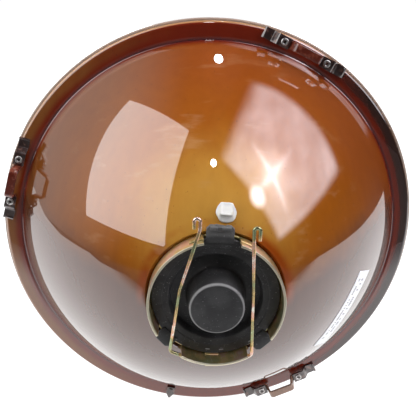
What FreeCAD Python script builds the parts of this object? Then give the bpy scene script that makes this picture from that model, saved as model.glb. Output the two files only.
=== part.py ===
import FreeCAD, Part
import math
import os
import Sketcher
from FreeCAD import Placement, Rotation, Vector

# Round headlamp unit seen from behind, in millimetres.
# +Z is up, +Y runs along the optical axis towards the bulb opening, and the glass faces -Y.
# The origin is on the optical axis, in the plane of the glass flange's rear face.
# Heights are distances along +Y from that plane. Azimuths turn from +X towards +Z.

DRIVING_DIMENSIONS = (
    ("rim_radius", 89.0, "outer edge of the glass flange"),
    ("glass_flange_thickness", 4.2, "glass flange, front to back"),
    ("glass_bowl_radius", 83.0, "where the front dome meets the flange"),
    ("glass_bowl_depth", 35.0, "front of the dome from the rear face"),
    ("glass_thickness", 3.8, "thickness of the dome at its middle"),
    ("glass_inner_radius", 80.5, "inner edge of the flange's rear face"),
    ("seal_inner_radius", 82.0, "bonding seal, inside"),
    ("seal_outer_radius", 86.4, "bonding seal, outside"),
    ("sheet_thickness", 0.8, "pressed steel sheet"),
    ("band_height", 2.3, "rear face of the flat flange band"),
    ("lip_radius", 87.9, "outside of the flange's turned lip"),
    ("lip_bend", 1.4, "outer bend radius of the lip"),
    ("lip_end", 0.15, "front end of the lip"),
    ("groove_radius", 81.1, "inner edge of the flat band"),
    ("groove_slope", 0.55, "run over drop from the dome's edge to the band"),
    ("dome_rim_radius", 79.5, "where the paraboloid ends"),
    ("dome_top_radius", 24.3, "where the paraboloid begins"),
    ("dome_vertex", 66.55, "height of the paraboloid's vertex"),
    ("focal_length", 25.28, "focal length of the paraboloid"),
    ("land_height", 59.4, "flat land that carries the collar"),
    ("land_radius", 23.15, "outside of the flat land"),
    ("bulb_hole_radius", 18.9, "hole through the land"),
    ("collar_inner_radius", 22.2, "inside of the collar wall"),
    ("collar_wall", 0.8, "collar sheet thickness"),
    ("collar_height", 67.8, "rear edge of the collar wall"),
    ("collar_floor_radius", 19.2, "inner edge of the collar floor"),
    ("top_notch_from", 78.8, "top notch, first azimuth"),
    ("top_notch_to", 109.5, "top notch, last azimuth"),
    ("left_notch_from", 301.4, "notch at +X below, first azimuth"),
    ("left_notch_to", 330.5, "notch at +X below, last azimuth"),
    ("right_notch_from", 215.0, "notch at -X below, first azimuth"),
    ("right_notch_to", 241.0, "notch at -X below, last azimuth"),
    ("slit_span", 12.5, "length of each tongue slit, as an angle"),
    ("slit_height", 64.3, "front edge of the tongue slits"),
    ("slit_width", 1.1, "width of the tongue slits"),
    ("window_from", 267.0, "hinge window, first azimuth"),
    ("window_to", 279.0, "hinge window, last azimuth"),
    ("window_height", 61.3, "front edge of the hinge window"),
    ("window_width", 1.5, "height of the hinge window"),
    ("collar_rivet_pitch", 20.7, "collar rivets from the axis"),
    ("collar_rivet_radius", 0.9, "shank of the collar rivets"),
    ("collar_rivet_tail", 1.45, "tail of the collar rivets"),
    ("collar_rivet_first", 30.0, "azimuth of the first collar rivet"),
    ("rivet_tail", 0.6, "thickness of a rivet's tail"),
    ("hinge_height", 64.0, "bail hinge axis, height"),
    ("hinge_drop", 24.0, "bail hinge axis, below the optical axis"),
    ("knuckle_centre", 1.2, "knuckle along X"),
    ("knuckle_length", 4.4, "knuckle along X"),
    ("knuckle_clearance", 0.06, "radial clearance round the wire"),
    ("knuckle_wall", 0.7, "knuckle sheet thickness"),
    ("wire_diameter", 1.2, "bail wire"),
    ("bail_curl_radius", 0.95, "bend of the finger curls"),
    ("bail_corner_radius", 1.5, "bend between arm and base"),
    ("bail_kink_radius", 5.0, "bend at the arms' kinks"),
    ("disc_radius", 21.8, "flange of the blanking plug"),
    ("disc_underside", 60.5, "front face of the plug flange"),
    ("disc_top", 62.0, "rear face of the plug flange"),
    ("channel_radius", 16.0, "annular channel of the plug, outside"),
    ("channel_floor", 58.2, "bottom of the annular channel"),
    ("boss_radius", 9.1, "top of the plug boss"),
    ("boss_foot_radius", 9.9, "foot of the plug boss"),
    ("boss_top", 69.8, "rear face of the plug boss"),
    ("boss_edge", 0.9, "rounding of the boss edge"),
    ("plug_wall", 1.6, "wall of the plug moulding"),
    ("skirt_radius", 18.5, "plug skirt inside the bulb hole"),
    ("skirt_end", 56.4, "front end of the plug skirt"),
    ("lug_top", 62.5, "rear face of the three lugs"),
    ("lug_underside", 61.1, "front face of the three lugs"),
    ("lug_root_radius", 20.5, "where a lug starts"),
    ("lug_corner", 1.0, "cut corner of a lug"),
    ("top_lug_azimuth", 92.6, "middle of the wide lug"),
    ("top_lug_width", 9.2, "wide lug"),
    ("top_lug_tip", 26.2, "end of the wide lug"),
    ("top_lug_lip", 1.3, "turned-up end of the wide lug, along the radius"),
    ("top_lug_lip_height", 1.2, "turned-up end of the wide lug, height"),
    ("left_lug_azimuth", 318.5, "middle of the lug at +X"),
    ("left_lug_width", 6.6, "lug at +X"),
    ("left_lug_tip", 25.3, "end of the lug at +X"),
    ("right_lug_azimuth", 226.5, "middle of the lug at -X"),
    ("right_lug_width", 7.0, "lug at -X"),
    ("right_lug_tip", 25.6, "end of the lug at -X"),
    ("vent_radius", 29.7, "vent plug from the axis"),
    ("vent_azimuth", 95.9, "vent plug"),
    ("vent_skirt_radius", 3.35, "round skirt of the vent plug"),
    ("vent_skirt_height", 1.0, "round skirt of the vent plug"),
    ("vent_cap_side", 4.5, "square cap of the vent plug"),
    ("vent_cap_height", 2.6, "square cap above the dome"),
    ("vent_stem_radius", 1.6, "stem through the dome"),
    ("vent_stem_length", 3.0, "stem below the dome"),
    ("label_radius", 56.9, "middle of the label from the axis"),
    ("label_azimuth", 202.2, "middle of the label"),
    ("label_turn", 7.2, "label turned from the tangent"),
    ("label_length", 35.4, "label along its strip"),
    ("label_plan_width", 7.5, "label across, seen along the axis"),
    ("label_thickness", 0.12, "label paper"),
    ("label_adhesive", 0.03, "adhesive between paper and dome"),
    ("tab_azimuth", 282.3, "locating tab"),
    ("tab_inner_radius", 82.2, "locating tab, inner end"),
    ("tab_outer_radius", 88.6, "locating tab, pointed end"),
    ("tab_width", 3.8, "locating tab"),
    ("tab_point", 2.9, "length of the tab's point"),
    ("tab_height", 1.9, "locating tab above the band"),
    ("bracket_one_azimuth", 115.5, "bracket near the top"),
    ("bracket_two_azimuth", 16.7, "bracket at +X"),
    ("bracket_three_azimuth", 245.8, "bracket below"),
    ("bracket_radius", 84.6, "bracket centre line from the axis"),
    ("strap_thickness", 1.0, "lacquered strap"),
    ("strap_width", 3.4, "lacquered strap"),
    ("strap_half_span", 5.9, "half of the raised crosspiece"),
    ("strap_top", 11.6, "rear face of the crosspiece"),
    ("strap_flange_end", 11.4, "end of the strap's flange"),
    ("leg_lean", 0.9, "how far a leg leans outwards"),
    ("clip_thickness", 0.8, "end clip sheet"),
    ("clip_width", 4.3, "end clip"),
    ("ledge_top", 6.0, "rear face of the clip ledge"),
    ("ledge_inner", 7.0, "inner end of the ledge"),
    ("ledge_outer", 12.1, "outer end of the ledge"),
    ("foot_inner", 14.0, "inner end of the foot"),
    ("foot_outer", 18.0, "outer end of the foot"),
    ("strap_rivet_offset", 9.4, "rivets from the bracket's middle"),
    ("strap_rivet_radius", 0.95, "rivet shank"),
    ("rivet_head_radius", 1.6, "rivet head"),
    ("rivet_tail_radius", 1.45, "rivet tail under the strap"),
    ("rivet_head_height", 0.5, "rivet head"),
    ("rivet_bore_radius", 0.6, "hollow of a tubular rivet"),
    ("rivet_bore_floor", 0.5, "metal left at the front end of the hollow"),
    ("cut_margin", 2.0, "how far a cutting tool runs past the metal"),
)

# The bail wire's corners: (x, height, z) and the bend radius that rounds each of them.
BAIL_ROUTE = (
    ("left_curl_tip", (7.55, 69.9, 28.2), None),
    ("left_curl_outer", (7.55, 69.9, 31.5), "bail_curl_radius"),
    ("left_curl_inner", (5.6, 69.9, 31.5), "bail_curl_radius"),
    ("left_arm_top", (5.75, 69.8, 27.6), "bail_kink_radius"),
    ("left_rim_crossing", (8.1, 69.1, 19.5), "bail_kink_radius"),
    ("left_kink", (12.15, 67.0, 5.6), "bail_kink_radius"),
    ("left_foot", (15.7, 64.3, -19.3), "bail_corner_radius"),
    ("base_left", (5.0, 64.0, -24.0), "bail_kink_radius"),
    ("base_right", (-3.0, 64.0, -24.0), "bail_kink_radius"),
    ("right_foot", (-12.6, 64.2, -21.3), "bail_corner_radius"),
    ("right_kink", (-12.0, 67.0, 3.6), "bail_kink_radius"),
    ("right_rim_crossing", (-11.3, 69.2, 19.5), "bail_kink_radius"),
    ("right_curl_inner", (-11.05, 69.9, 28.4), "bail_curl_radius"),
    ("right_curl_outer", (-13.0, 69.9, 28.4), "bail_curl_radius"),
    ("right_curl_tip", (-13.0, 69.9, 24.2), None),
)

BRACKETS = ("one", "two", "three")
ALONG_Y = Rotation(Vector(1, 0, 0), -90)
DOME_POINTS = 11

doc = FreeCAD.newDocument("HeadlampUnit")
sheet = doc.addObject("Spreadsheet::Sheet", "Sheet")
parts = []


class Dim:
    """A value together with the sheet expression that gives it."""

    def __init__(self, value, text):
        self.value = value
        self.text = text

    def joined(self, other, sign, value):
        text = other.text if isinstance(other, Dim) else repr(float(other))
        return Dim(value, "(%s %s %s)" % (self.text, sign, text))

    def __add__(self, other):
        return self.joined(other, "+", self.value + number(other))

    def __sub__(self, other):
        return self.joined(other, "-", self.value - number(other))

    def __mul__(self, other):
        return self.joined(other, "*", self.value * number(other))

    def __truediv__(self, other):
        return self.joined(other, "/", self.value / number(other))

    def __neg__(self):
        return Dim(-self.value, "(0 - %s)" % self.text)


def number(value):
    return value.value if isinstance(value, Dim) else float(value)


def cosine(angle):
    return Dim(math.cos(math.radians(angle.value)), "cos(%s)" % angle.text)


def sine(angle):
    return Dim(math.sin(math.radians(angle.value)), "sin(%s)" % angle.text)


def fill_sheet():
    """Writes every driving dimension to the sheet and returns them by name."""
    found = {}
    rows = list(DRIVING_DIMENSIONS)
    for name, point, bend in BAIL_ROUTE:
        for axis, value in zip(("x", "height", "z"), point):
            rows.append(("bail_%s_%s" % (name, axis), value, "bail wire corner"))
    for row, (alias, value, note) in enumerate(rows, start=1):
        sheet.set("A%d" % row, note)
        sheet.set("B%d" % row, str(value))
        sheet.setAlias("B%d" % row, alias)
        found[alias] = Dim(value, "Sheet.%s" % alias)
    doc.recompute()
    return found


dims = fill_sheet()
ZERO = Dim(0.0, "0")


def bind(obj, prop, dim):
    obj.setExpression(prop, dim.text)


def label(obj, name):
    """Names a finished sub-part and puts it on the list of files to write."""
    obj.Label = name
    parts.append(obj)
    return obj


# ---- sketches -------------------------------------------------------------------------------


def origin_plane(body, role):
    for feature in body.Origin.OriginFeatures:
        if feature.Role == role:
            return feature
    raise RuntimeError("no plane " + role)


def new_sketch(body, name, role, height=None, azimuth=None):
    """A sketch on an origin plane. On XZ_Plane it may be raised to a height and turned to an azimuth."""
    sketch = body.newObject("Sketcher::SketchObject", name)
    sketch.AttachmentSupport = [(origin_plane(body, role), "")]
    sketch.MapMode = "FlatFace"
    if azimuth is not None:
        sketch.AttachmentOffset = Placement(Vector(), Rotation(Vector(0, 0, 1), azimuth.value))
        bind(sketch, "AttachmentOffset.Rotation.Angle", azimuth)
    if height is not None:
        bind(sketch, "AttachmentOffset.Base.z", -height)
    return sketch


def hold_point(sketch, edge, end, x, y):
    """Fixes one end of an edge at (x, y), each coordinate bound to the sheet."""
    for kind, axis, dim in (("DistanceX", -2, x), ("DistanceY", -1, y)):
        if dim is ZERO:
            sketch.addConstraint(Sketcher.Constraint("PointOnObject", edge, end, axis))
            continue
        index = sketch.addConstraint(Sketcher.Constraint(kind, -1, 1, edge, end, dim.value))
        sketch.setExpression("Constraints[%d]" % index, dim.text)


def arc_between(start, end, radius, turn):
    """The arc from start to end with that radius. turn is +1 anticlockwise and -1 clockwise."""
    chord = end - start
    middle = (start + end) * 0.5
    rise = math.sqrt(radius * radius - chord.Length * chord.Length / 4)
    normal = Vector(-chord.y, chord.x, 0).normalize()
    centre = middle + normal * (rise * turn)
    first, last = (start, end) if turn > 0 else (end, start)
    circle = Part.Circle(centre, Vector(0, 0, 1), radius)
    from_angle = math.atan2(first.y - centre.y, first.x - centre.x)
    to_angle = math.atan2(last.y - centre.y, last.x - centre.x)
    return Part.ArcOfCircle(circle, from_angle, to_angle)


def add_outline(sketch, corners):
    """A closed outline. Each corner is (x, y) or (x, y, radius, turn), the last two for an arc to the next."""
    flat = [Vector(c[0].value, c[1].value, 0) for c in corners]
    ends = []
    for i, corner in enumerate(corners):
        start, end = flat[i], flat[(i + 1) % len(corners)]
        if len(corner) == 2:
            edge = sketch.addGeometry(Part.LineSegment(start, end))
            ends.append((edge, 1, 2))
            continue
        edge = sketch.addGeometry(arc_between(start, end, corner[2].value, corner[3]))
        ends.append((edge, 1, 2) if corner[3] > 0 else (edge, 2, 1))
    for i, (edge, first, last) in enumerate(ends):
        following = ends[(i + 1) % len(ends)]
        sketch.addConstraint(Sketcher.Constraint("Coincident", edge, last, following[0], following[1]))
    for (edge, first, last), corner in zip(ends, corners):
        hold_point(sketch, edge, first, corner[0], corner[1])
    for (edge, first, last), corner in zip(ends, corners):
        if len(corner) == 4:
            index = sketch.addConstraint(Sketcher.Constraint("Radius", edge, corner[2].value))
            sketch.setExpression("Constraints[%d]" % index, corner[2].text)
    return sketch


def add_circle(sketch, x, y, radius):
    edge = sketch.addGeometry(Part.Circle(Vector(x.value, y.value, 0), Vector(0, 0, 1), radius.value))
    hold_point(sketch, edge, 3, x, y)
    index = sketch.addConstraint(Sketcher.Constraint("Radius", edge, radius.value))
    sketch.setExpression("Constraints[%d]" % index, radius.text)
    return sketch


def wedge(first, last, inner, outer):
    """Corners of a plan wedge between two azimuths and two radii."""
    return [
        (inner * cosine(first), inner * sine(first)),
        (outer * cosine(first), outer * sine(first)),
        (outer * cosine(last), outer * sine(last)),
        (inner * cosine(last), inner * sine(last)),
    ]


# ---- features -------------------------------------------------------------------------------


def new_body(name):
    return doc.addObject("PartDesign::Body", name + "_body")


def revolve(body, name, corners):
    """Turns an outline of (radius, height) corners round the optical axis."""
    sketch = add_outline(new_sketch(body, name + "_profile", "XY_Plane"), corners)
    feature = body.newObject("PartDesign::Revolution", name + "_turned")
    feature.Profile = sketch
    feature.ReferenceAxis = (sketch, ["V_Axis"])
    feature.Angle = 360
    doc.recompute()
    return feature


def pad(body, name, sketch, length, symmetric=False):
    feature = body.newObject("PartDesign::Pad", name)
    feature.Profile = sketch
    if symmetric:
        feature.SideType = "Symmetric"
    bind(feature, "Length", length)
    doc.recompute()
    return feature


def pocket(body, name, sketch, length, symmetric=False):
    """Cuts from a sketch, and stops if nothing was cut."""
    before = body.Shape.Volume
    feature = body.newObject("PartDesign::Pocket", name)
    feature.Profile = sketch
    if symmetric:
        feature.SideType = "Symmetric"
    bind(feature, "Length", length)
    doc.recompute()
    if not before - body.Shape.Volume > 1e-3:
        raise RuntimeError(name + " cuts nothing")
    return feature


def cylinder(name, radius, height, x, y, z):
    """A cylinder that stands along +Y from the point (x, y, z)."""
    obj = doc.addObject("Part::Cylinder", name)
    bind(obj, "Radius", radius)
    bind(obj, "Height", height)
    obj.Placement = Placement(Vector(), ALONG_Y)
    for axis, dim in zip("xyz", (x, y, z)):
        bind(obj, "Placement.Base." + axis, dim)
    return obj


def fuse(name, pieces):
    obj = doc.addObject("Part::MultiFuse", name)
    obj.Shapes = pieces
    return obj


def cut(name, base, tool):
    obj = doc.addObject("Part::Cut", name)
    obj.Base = base
    obj.Tool = tool
    return obj


# ---- glass and seal -------------------------------------------------------------------------


def sphere_radius(sagitta, half_chord):
    return (half_chord * half_chord + sagitta * sagitta) / (sagitta * 2)


def make_lens():
    body = new_body("lens")
    front = dims["glass_bowl_depth"]
    crown = dims["glass_bowl_radius"]
    inner = dims["glass_inner_radius"]
    rear_vertex = front - dims["glass_thickness"]
    outer_sphere = sphere_radius(front - dims["glass_flange_thickness"], crown)
    inner_sphere = sphere_radius(rear_vertex, inner)
    revolve(body, "lens", [
        (ZERO, -front, outer_sphere, 1),
        (crown, -dims["glass_flange_thickness"]),
        (dims["rim_radius"], -dims["glass_flange_thickness"]),
        (dims["rim_radius"], ZERO),
        (inner, ZERO, inner_sphere, -1),
        (ZERO, -rear_vertex),
    ])
    return label(body, "lens")


def make_lens_seal():
    body = new_body("lens_seal")
    top = dims["band_height"] - dims["sheet_thickness"]
    inner = dims["seal_inner_radius"]
    outer = dims["seal_outer_radius"]
    revolve(body, "seal", [(inner, ZERO), (outer, ZERO), (outer, top), (inner, top)])
    return label(body, "lens_seal")


# ---- reflector ------------------------------------------------------------------------------


def dome_height(radius):
    return dims["dome_vertex"].value - radius * radius / (4 * dims["focal_length"].value)


def dome_normal(radius):
    """Unit outward normal of the paraboloid in the (radius, height) half plane."""
    slope = radius / (2 * dims["focal_length"].value)
    length = math.hypot(slope, 1)
    return Vector(slope / length, 1 / length, 0)


def dome_curve(offset, first, last):
    """A spline along the paraboloid, offset outwards, between two radii of the paraboloid."""
    points = []
    for i in range(DOME_POINTS):
        radius = first + (last - first) * i / (DOME_POINTS - 1)
        points.append(Vector(radius, dome_height(radius), 0) + dome_normal(radius) * offset)
    curve = Part.BSplineCurve()
    curve.interpolate(points)
    return curve.toShape()


def joined_edges(points):
    return [Part.makeLine(a, b) for a, b in zip(points, points[1:])]


def quarter(start, middle_of, end):
    """The arc from start to end whose tangents meet at a corner."""
    chord_middle = (start + end) * 0.5
    away = (middle_of - chord_middle).normalize()
    half = (end - start).Length / 2
    reach = (middle_of - start).Length
    sagitta = half * half / (reach + (middle_of - chord_middle).Length)
    return Part.Arc(start, chord_middle + away * sagitta, end).toShape()


def end_points(edge):
    return edge.valueAt(edge.FirstParameter), edge.valueAt(edge.LastParameter)


def make_reflector():
    """One pressed shell: land, paraboloid dome, groove, flat band and turned lip."""
    sheet_t = dims["sheet_thickness"].value
    land = dims["land_height"].value
    land_r = dims["land_radius"].value
    hole_r = dims["bulb_hole_radius"].value
    band = dims["band_height"].value
    groove_r = dims["groove_radius"].value
    lip_r = dims["lip_radius"].value
    bend = dims["lip_bend"].value
    lip_end = dims["lip_end"].value
    outer_dome = dome_curve(0, dims["dome_top_radius"].value, dims["dome_rim_radius"].value)
    inner_dome = dome_curve(-sheet_t, dims["dome_rim_radius"].value, dims["dome_top_radius"].value + sheet_t)
    outer_start, outer_end = end_points(outer_dome)
    inner_start, inner_end = end_points(inner_dome)
    crest = Vector(land_r, outer_start.y, 0)
    crest_foot = Vector(land_r, outer_start.y - (outer_start.x - land_r), 0)
    groove_end = Vector(groove_r + sheet_t, band, 0)
    inner_groove_end = Vector(groove_r + sheet_t, band - sheet_t, 0)
    slope = dims["groove_slope"].value
    groove_corner = Vector(outer_end.x + (outer_end.y - band) * slope, band, 0)
    inner_corner = Vector(inner_start.x + (inner_start.y - band + sheet_t) * slope, band - sheet_t, 0)
    band_end = Vector(lip_r - bend, band, 0)
    lip_start = Vector(lip_r, band - bend, 0)
    inner_lip_start = Vector(lip_r - sheet_t, band - bend, 0)
    inner_band_end = Vector(lip_r - bend, band - sheet_t, 0)
    edges = joined_edges([Vector(hole_r, land, 0), Vector(land_r, land, 0), crest_foot])
    edges.append(quarter(crest_foot, crest, outer_start))
    edges.append(outer_dome)
    edges += joined_edges([outer_end, groove_corner, groove_end, band_end])
    edges.append(quarter(band_end, Vector(lip_r, band, 0), lip_start))
    edges += joined_edges([lip_start, Vector(lip_r, lip_end, 0), Vector(lip_r - sheet_t, lip_end, 0),
                           inner_lip_start])
    edges.append(quarter(inner_lip_start, Vector(lip_r - sheet_t, band - sheet_t, 0), inner_band_end))
    edges += joined_edges([inner_band_end, inner_groove_end, inner_corner, inner_start])
    edges.append(inner_dome)
    land_front = land - sheet_t
    edges += joined_edges([inner_end, Vector(inner_end.x, land_front, 0), Vector(hole_r, land_front, 0),
                           Vector(hole_r, land, 0)])
    face = Part.Face(Part.Wire(Part.__sortEdges__(edges)))
    shell = doc.addObject("Part::Feature", "reflector_shell")
    shell.Shape = face.revolve(Vector(), Vector(0, 1, 0), 360)
    tools = fuse("reflector_holes", [vent_hole()] + collar_rivet_holes("reflector"))
    return label(cut("reflector_cut", shell, tools), "reflector")


def collar_rivet_spots():
    """(x, z) of the three collar rivets."""
    pitch = dims["collar_rivet_pitch"]
    for i in range(3):
        angle = dims["collar_rivet_first"] + 120.0 * i
        yield pitch * cosine(angle), pitch * sine(angle)


def collar_rivet_holes(name):
    """Cutting tools for the rivet holes through the collar's floor and the reflector's land."""
    start = dims["land_height"] - dims["cut_margin"]
    length = dims["cut_margin"] * 2
    holes = []
    for i, (x, z) in enumerate(collar_rivet_spots()):
        hole_name = "%s_rivet_hole_%d" % (name, i + 1)
        holes.append(cylinder(hole_name, dims["collar_rivet_radius"], length, x, start, z))
    return holes


def vent_tilt():
    """Angle between the dome's normal at the vent plug and the optical axis, in degrees."""
    return math.degrees(math.atan2(dims["vent_radius"].value, 2 * dims["focal_length"].value))


def vent_placement():
    """Origin on the dome, local +Y along the dome's normal, local +X along the tangent."""
    azimuth = math.radians(dims["vent_azimuth"].value)
    radius = dims["vent_radius"].value
    base = Vector(radius * math.cos(azimuth), dome_height(radius), radius * math.sin(azimuth))
    turn = Rotation(Vector(0, 1, 0), 90 - dims["vent_azimuth"].value)
    return Placement(base, turn * Rotation(Vector(1, 0, 0), vent_tilt()))


def vent_hole():
    hole = doc.addObject("Part::Cylinder", "vent_hole")
    bind(hole, "Radius", dims["vent_stem_radius"])
    margin = dims["cut_margin"]
    bind(hole, "Height", margin * 2)
    drop = Placement(Vector(0, -margin.value, 0), ALONG_Y)
    hole.Placement = vent_placement().multiply(drop)
    return hole


# ---- bulb collar and its rivets -------------------------------------------------------------


def make_bulb_collar():
    body = new_body("bulb_collar")
    wall = dims["collar_wall"]
    inner = dims["collar_inner_radius"]
    floor = dims["land_height"] + wall
    top = dims["collar_height"]
    floor_edge = dims["collar_floor_radius"]
    revolve(body, "collar", [
        (floor_edge, dims["land_height"]),
        (inner + wall, dims["land_height"]),
        (inner + wall, top),
        (inner, top),
        (inner, floor),
        (floor_edge, floor),
    ])
    near = inner - dims["cut_margin"]
    far = inner + dims["cut_margin"]
    for side in ("top", "left", "right"):
        sketch = new_sketch(body, side + "_notch_plan", "XZ_Plane", height=floor)
        add_outline(sketch, wedge(dims[side + "_notch_from"], dims[side + "_notch_to"], near, far))
        pocket(body, side + "_notch", sketch, top - floor + dims["cut_margin"])
    slits = (
        ("slit_low", dims["top_notch_from"] - dims["slit_span"], dims["top_lug_azimuth"]),
        ("slit_high", dims["top_lug_azimuth"], dims["top_notch_to"] + dims["slit_span"]),
    )
    for name, first, last in slits:
        sketch = new_sketch(body, name + "_plan", "XZ_Plane", height=dims["slit_height"])
        add_outline(sketch, wedge(first, last, near, far))
        pocket(body, name, sketch, dims["slit_width"])
    sketch = new_sketch(body, "window_plan", "XZ_Plane", height=dims["window_height"])
    add_outline(sketch, wedge(dims["window_from"], dims["window_to"], near, far))
    pocket(body, "hinge_window", sketch, dims["window_width"])
    add_knuckle(body)
    holes = fuse("collar_rivet_holes", collar_rivet_holes("collar"))
    return label(cut("collar_drilled", body, holes), "bulb_collar")


def add_knuckle(body):
    """The rolled tab below the collar that the bail's base turns in."""
    sketch = new_sketch(body, "knuckle_section", "YZ_Plane")
    bind(sketch, "AttachmentOffset.Base.z", dims["knuckle_centre"])
    bore = dims["wire_diameter"] / 2 + dims["knuckle_clearance"]
    for radius in (bore, bore + dims["knuckle_wall"]):
        add_circle(sketch, dims["hinge_height"], -dims["hinge_drop"], radius)
    pad(body, "knuckle", sketch, dims["knuckle_length"], symmetric=True)


def make_collar_rivets():
    """Three flush rivets, each a shank with a wider tail inside the reflector."""
    floor = dims["land_height"] + dims["collar_wall"]
    tail_top = dims["land_height"] - dims["sheet_thickness"]
    rivets = []
    for i, (x, z) in enumerate(collar_rivet_spots()):
        start = tail_top - dims["rivet_tail"]
        shank = cylinder("collar_shank_%d" % i, dims["collar_rivet_radius"], floor - start, x, start, z)
        tail = cylinder("collar_tail_%d" % i, dims["collar_rivet_tail"], dims["rivet_tail"], x, start, z)
        rivets.append(fuse("collar_rivet_%d" % i, [shank, tail]))
    group = doc.addObject("Part::Compound", "collar_rivet_group")
    group.Links = rivets
    return label(group, "collar_rivets")


# ---- bail wire ------------------------------------------------------------------------------


def rounded_path(points, radii):
    """Straight runs joined by tangent arcs, one at each inner point."""
    edges = []
    start = points[0]
    for i in range(1, len(points) - 1):
        into = (points[i] - points[i - 1]).normalize()
        out = (points[i + 1] - points[i]).normalize()
        turn = into.getAngle(out)
        reach = radii[i] * math.tan(turn / 2)
        first = points[i] - into * reach
        last = points[i] + out * reach
        inward = (out - into).normalize()
        middle = points[i] + inward * (radii[i] / math.cos(turn / 2) - radii[i])
        edges.append(Part.LineSegment(start, first).toShape())
        edges.append(Part.Arc(first, middle, last).toShape())
        start = last
    edges.append(Part.LineSegment(start, points[-1]).toShape())
    return Part.Wire(edges)


def make_bail_wire():
    points = []
    radii = []
    for name, point, bend in BAIL_ROUTE:
        points.append(Vector(*[dims["bail_%s_%s" % (name, axis)].value for axis in ("x", "height", "z")]))
        radii.append(dims[bend].value if bend else 0)
    path = rounded_path(points, radii)
    radius = dims["wire_diameter"].value / 2
    direction = points[1] - points[0]
    section = Part.Wire(Part.makeCircle(radius, points[0], direction))
    wire = doc.addObject("Part::Feature", "bail_sweep")
    wire.Shape = path.makePipeShell([section], True, False)
    expected = math.pi * radius * radius * path.Length
    print("bail wire: length %.1f mm, volume over section times length %.4f" % (
        path.Length, wire.Shape.Volume / expected))
    return label(wire, "bail_wire")


# ---- blanking plug --------------------------------------------------------------------------


def add_lug(body, side):
    """One flat lug with cut corners, out through its notch."""
    half = dims[side + "_lug_width"] / 2
    root = dims["lug_root_radius"]
    tip = dims[side + "_lug_tip"]
    corner = dims["lug_corner"]
    sketch = new_sketch(body, side + "_lug_plan", "XZ_Plane", dims["lug_top"], dims[side + "_lug_azimuth"])
    add_outline(sketch, [
        (root, -half), (tip - corner, -half), (tip, corner - half),
        (tip, half - corner), (tip - corner, half), (root, half),
    ])
    pad(body, side + "_lug", sketch, dims["lug_top"] - dims["lug_underside"])


def make_dust_plug():
    body = new_body("dust_plug")
    wall = dims["plug_wall"]
    edge = dims["boss_edge"]
    boss = dims["boss_radius"]
    top = dims["boss_top"]
    revolve(body, "plug", [
        (ZERO, top - wall),
        (boss - wall, top - wall),
        (dims["boss_foot_radius"] - wall, dims["channel_floor"] - wall),
        (dims["channel_radius"], dims["channel_floor"] - wall),
        (dims["channel_radius"], dims["skirt_end"]),
        (dims["skirt_radius"], dims["skirt_end"]),
        (dims["skirt_radius"], dims["disc_underside"]),
        (dims["disc_radius"], dims["disc_underside"]),
        (dims["disc_radius"], dims["disc_top"]),
        (dims["channel_radius"], dims["disc_top"]),
        (dims["channel_radius"], dims["channel_floor"]),
        (dims["boss_foot_radius"], dims["channel_floor"]),
        (boss, top - edge, edge, 1),
        (boss - edge, top),
        (ZERO, top),
    ])
    for side in ("top", "left", "right"):
        add_lug(body, side)
    tip = dims["top_lug_tip"]
    half = dims["top_lug_width"] / 2 - dims["lug_corner"]
    raised = dims["lug_top"] + dims["top_lug_lip_height"]
    sketch = new_sketch(body, "lug_lip_plan", "XZ_Plane", raised, dims["top_lug_azimuth"])
    root = tip - dims["top_lug_lip"]
    add_outline(sketch, [(root, -half), (tip, -half), (tip, half), (root, half)])
    pad(body, "lug_lip", sketch, dims["top_lug_lip_height"])
    return label(body, "dust_plug")


# ---- vent plug, label and locating tab ------------------------------------------------------


def make_vent_plug():
    body = new_body("vent_plug")
    skirt = new_sketch(body, "vent_skirt_plan", "XZ_Plane", dims["vent_skirt_height"])
    add_circle(skirt, ZERO, ZERO, dims["vent_skirt_radius"])
    pad(body, "vent_skirt", skirt, dims["vent_skirt_height"])
    half = dims["vent_cap_side"] / 2
    cap = new_sketch(body, "vent_cap_plan", "XZ_Plane", dims["vent_cap_height"])
    add_outline(cap, [(-half, -half), (half, -half), (half, half), (-half, half)])
    pad(body, "vent_cap", cap, dims["vent_cap_height"])
    stem = new_sketch(body, "vent_stem_plan", "XZ_Plane", ZERO)
    add_circle(stem, ZERO, ZERO, dims["vent_stem_radius"])
    pad(body, "vent_stem", stem, dims["vent_stem_length"])
    body.Placement = vent_placement()
    return label(body, "vent_plug")


def make_label():
    """A strip of paper on the dome: a thin shell over the paraboloid, cut to the strip's plan."""
    reach = math.hypot(dims["label_length"].value, dims["label_plan_width"].value) / 2
    first = dims["label_radius"].value - reach
    last = dims["label_radius"].value + reach
    adhesive = dims["label_adhesive"].value
    inner = dome_curve(adhesive, first, last)
    outer = dome_curve(adhesive + dims["label_thickness"].value, last, first)
    inner_start, inner_end = end_points(inner)
    outer_start, outer_end = end_points(outer)
    edges = [inner, Part.makeLine(inner_end, outer_start), outer, Part.makeLine(outer_end, inner_start)]
    shell = doc.addObject("Part::Feature", "label_shell")
    shell.Shape = Part.Face(Part.Wire(edges)).revolve(Vector(), Vector(0, 1, 0), 360)
    strip = doc.addObject("Part::Box", "label_strip")
    bind(strip, "Length", dims["label_plan_width"])
    bind(strip, "Width", dims["dome_vertex"])
    bind(strip, "Height", dims["label_length"])
    azimuth = dims["label_azimuth"]
    turn = Rotation(Vector(0, 1, 0), -(azimuth.value + dims["label_turn"].value))
    corner = turn.multVec(Vector(-dims["label_plan_width"].value / 2, 0, -dims["label_length"].value / 2))
    middle = Vector(dims["label_radius"].value * math.cos(math.radians(azimuth.value)), 0,
                    dims["label_radius"].value * math.sin(math.radians(azimuth.value)))
    strip.Placement = Placement(middle + corner, turn)
    common = doc.addObject("Part::Common", "label_cut")
    common.Base = shell
    common.Tool = strip
    return label(common, "label")


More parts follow.
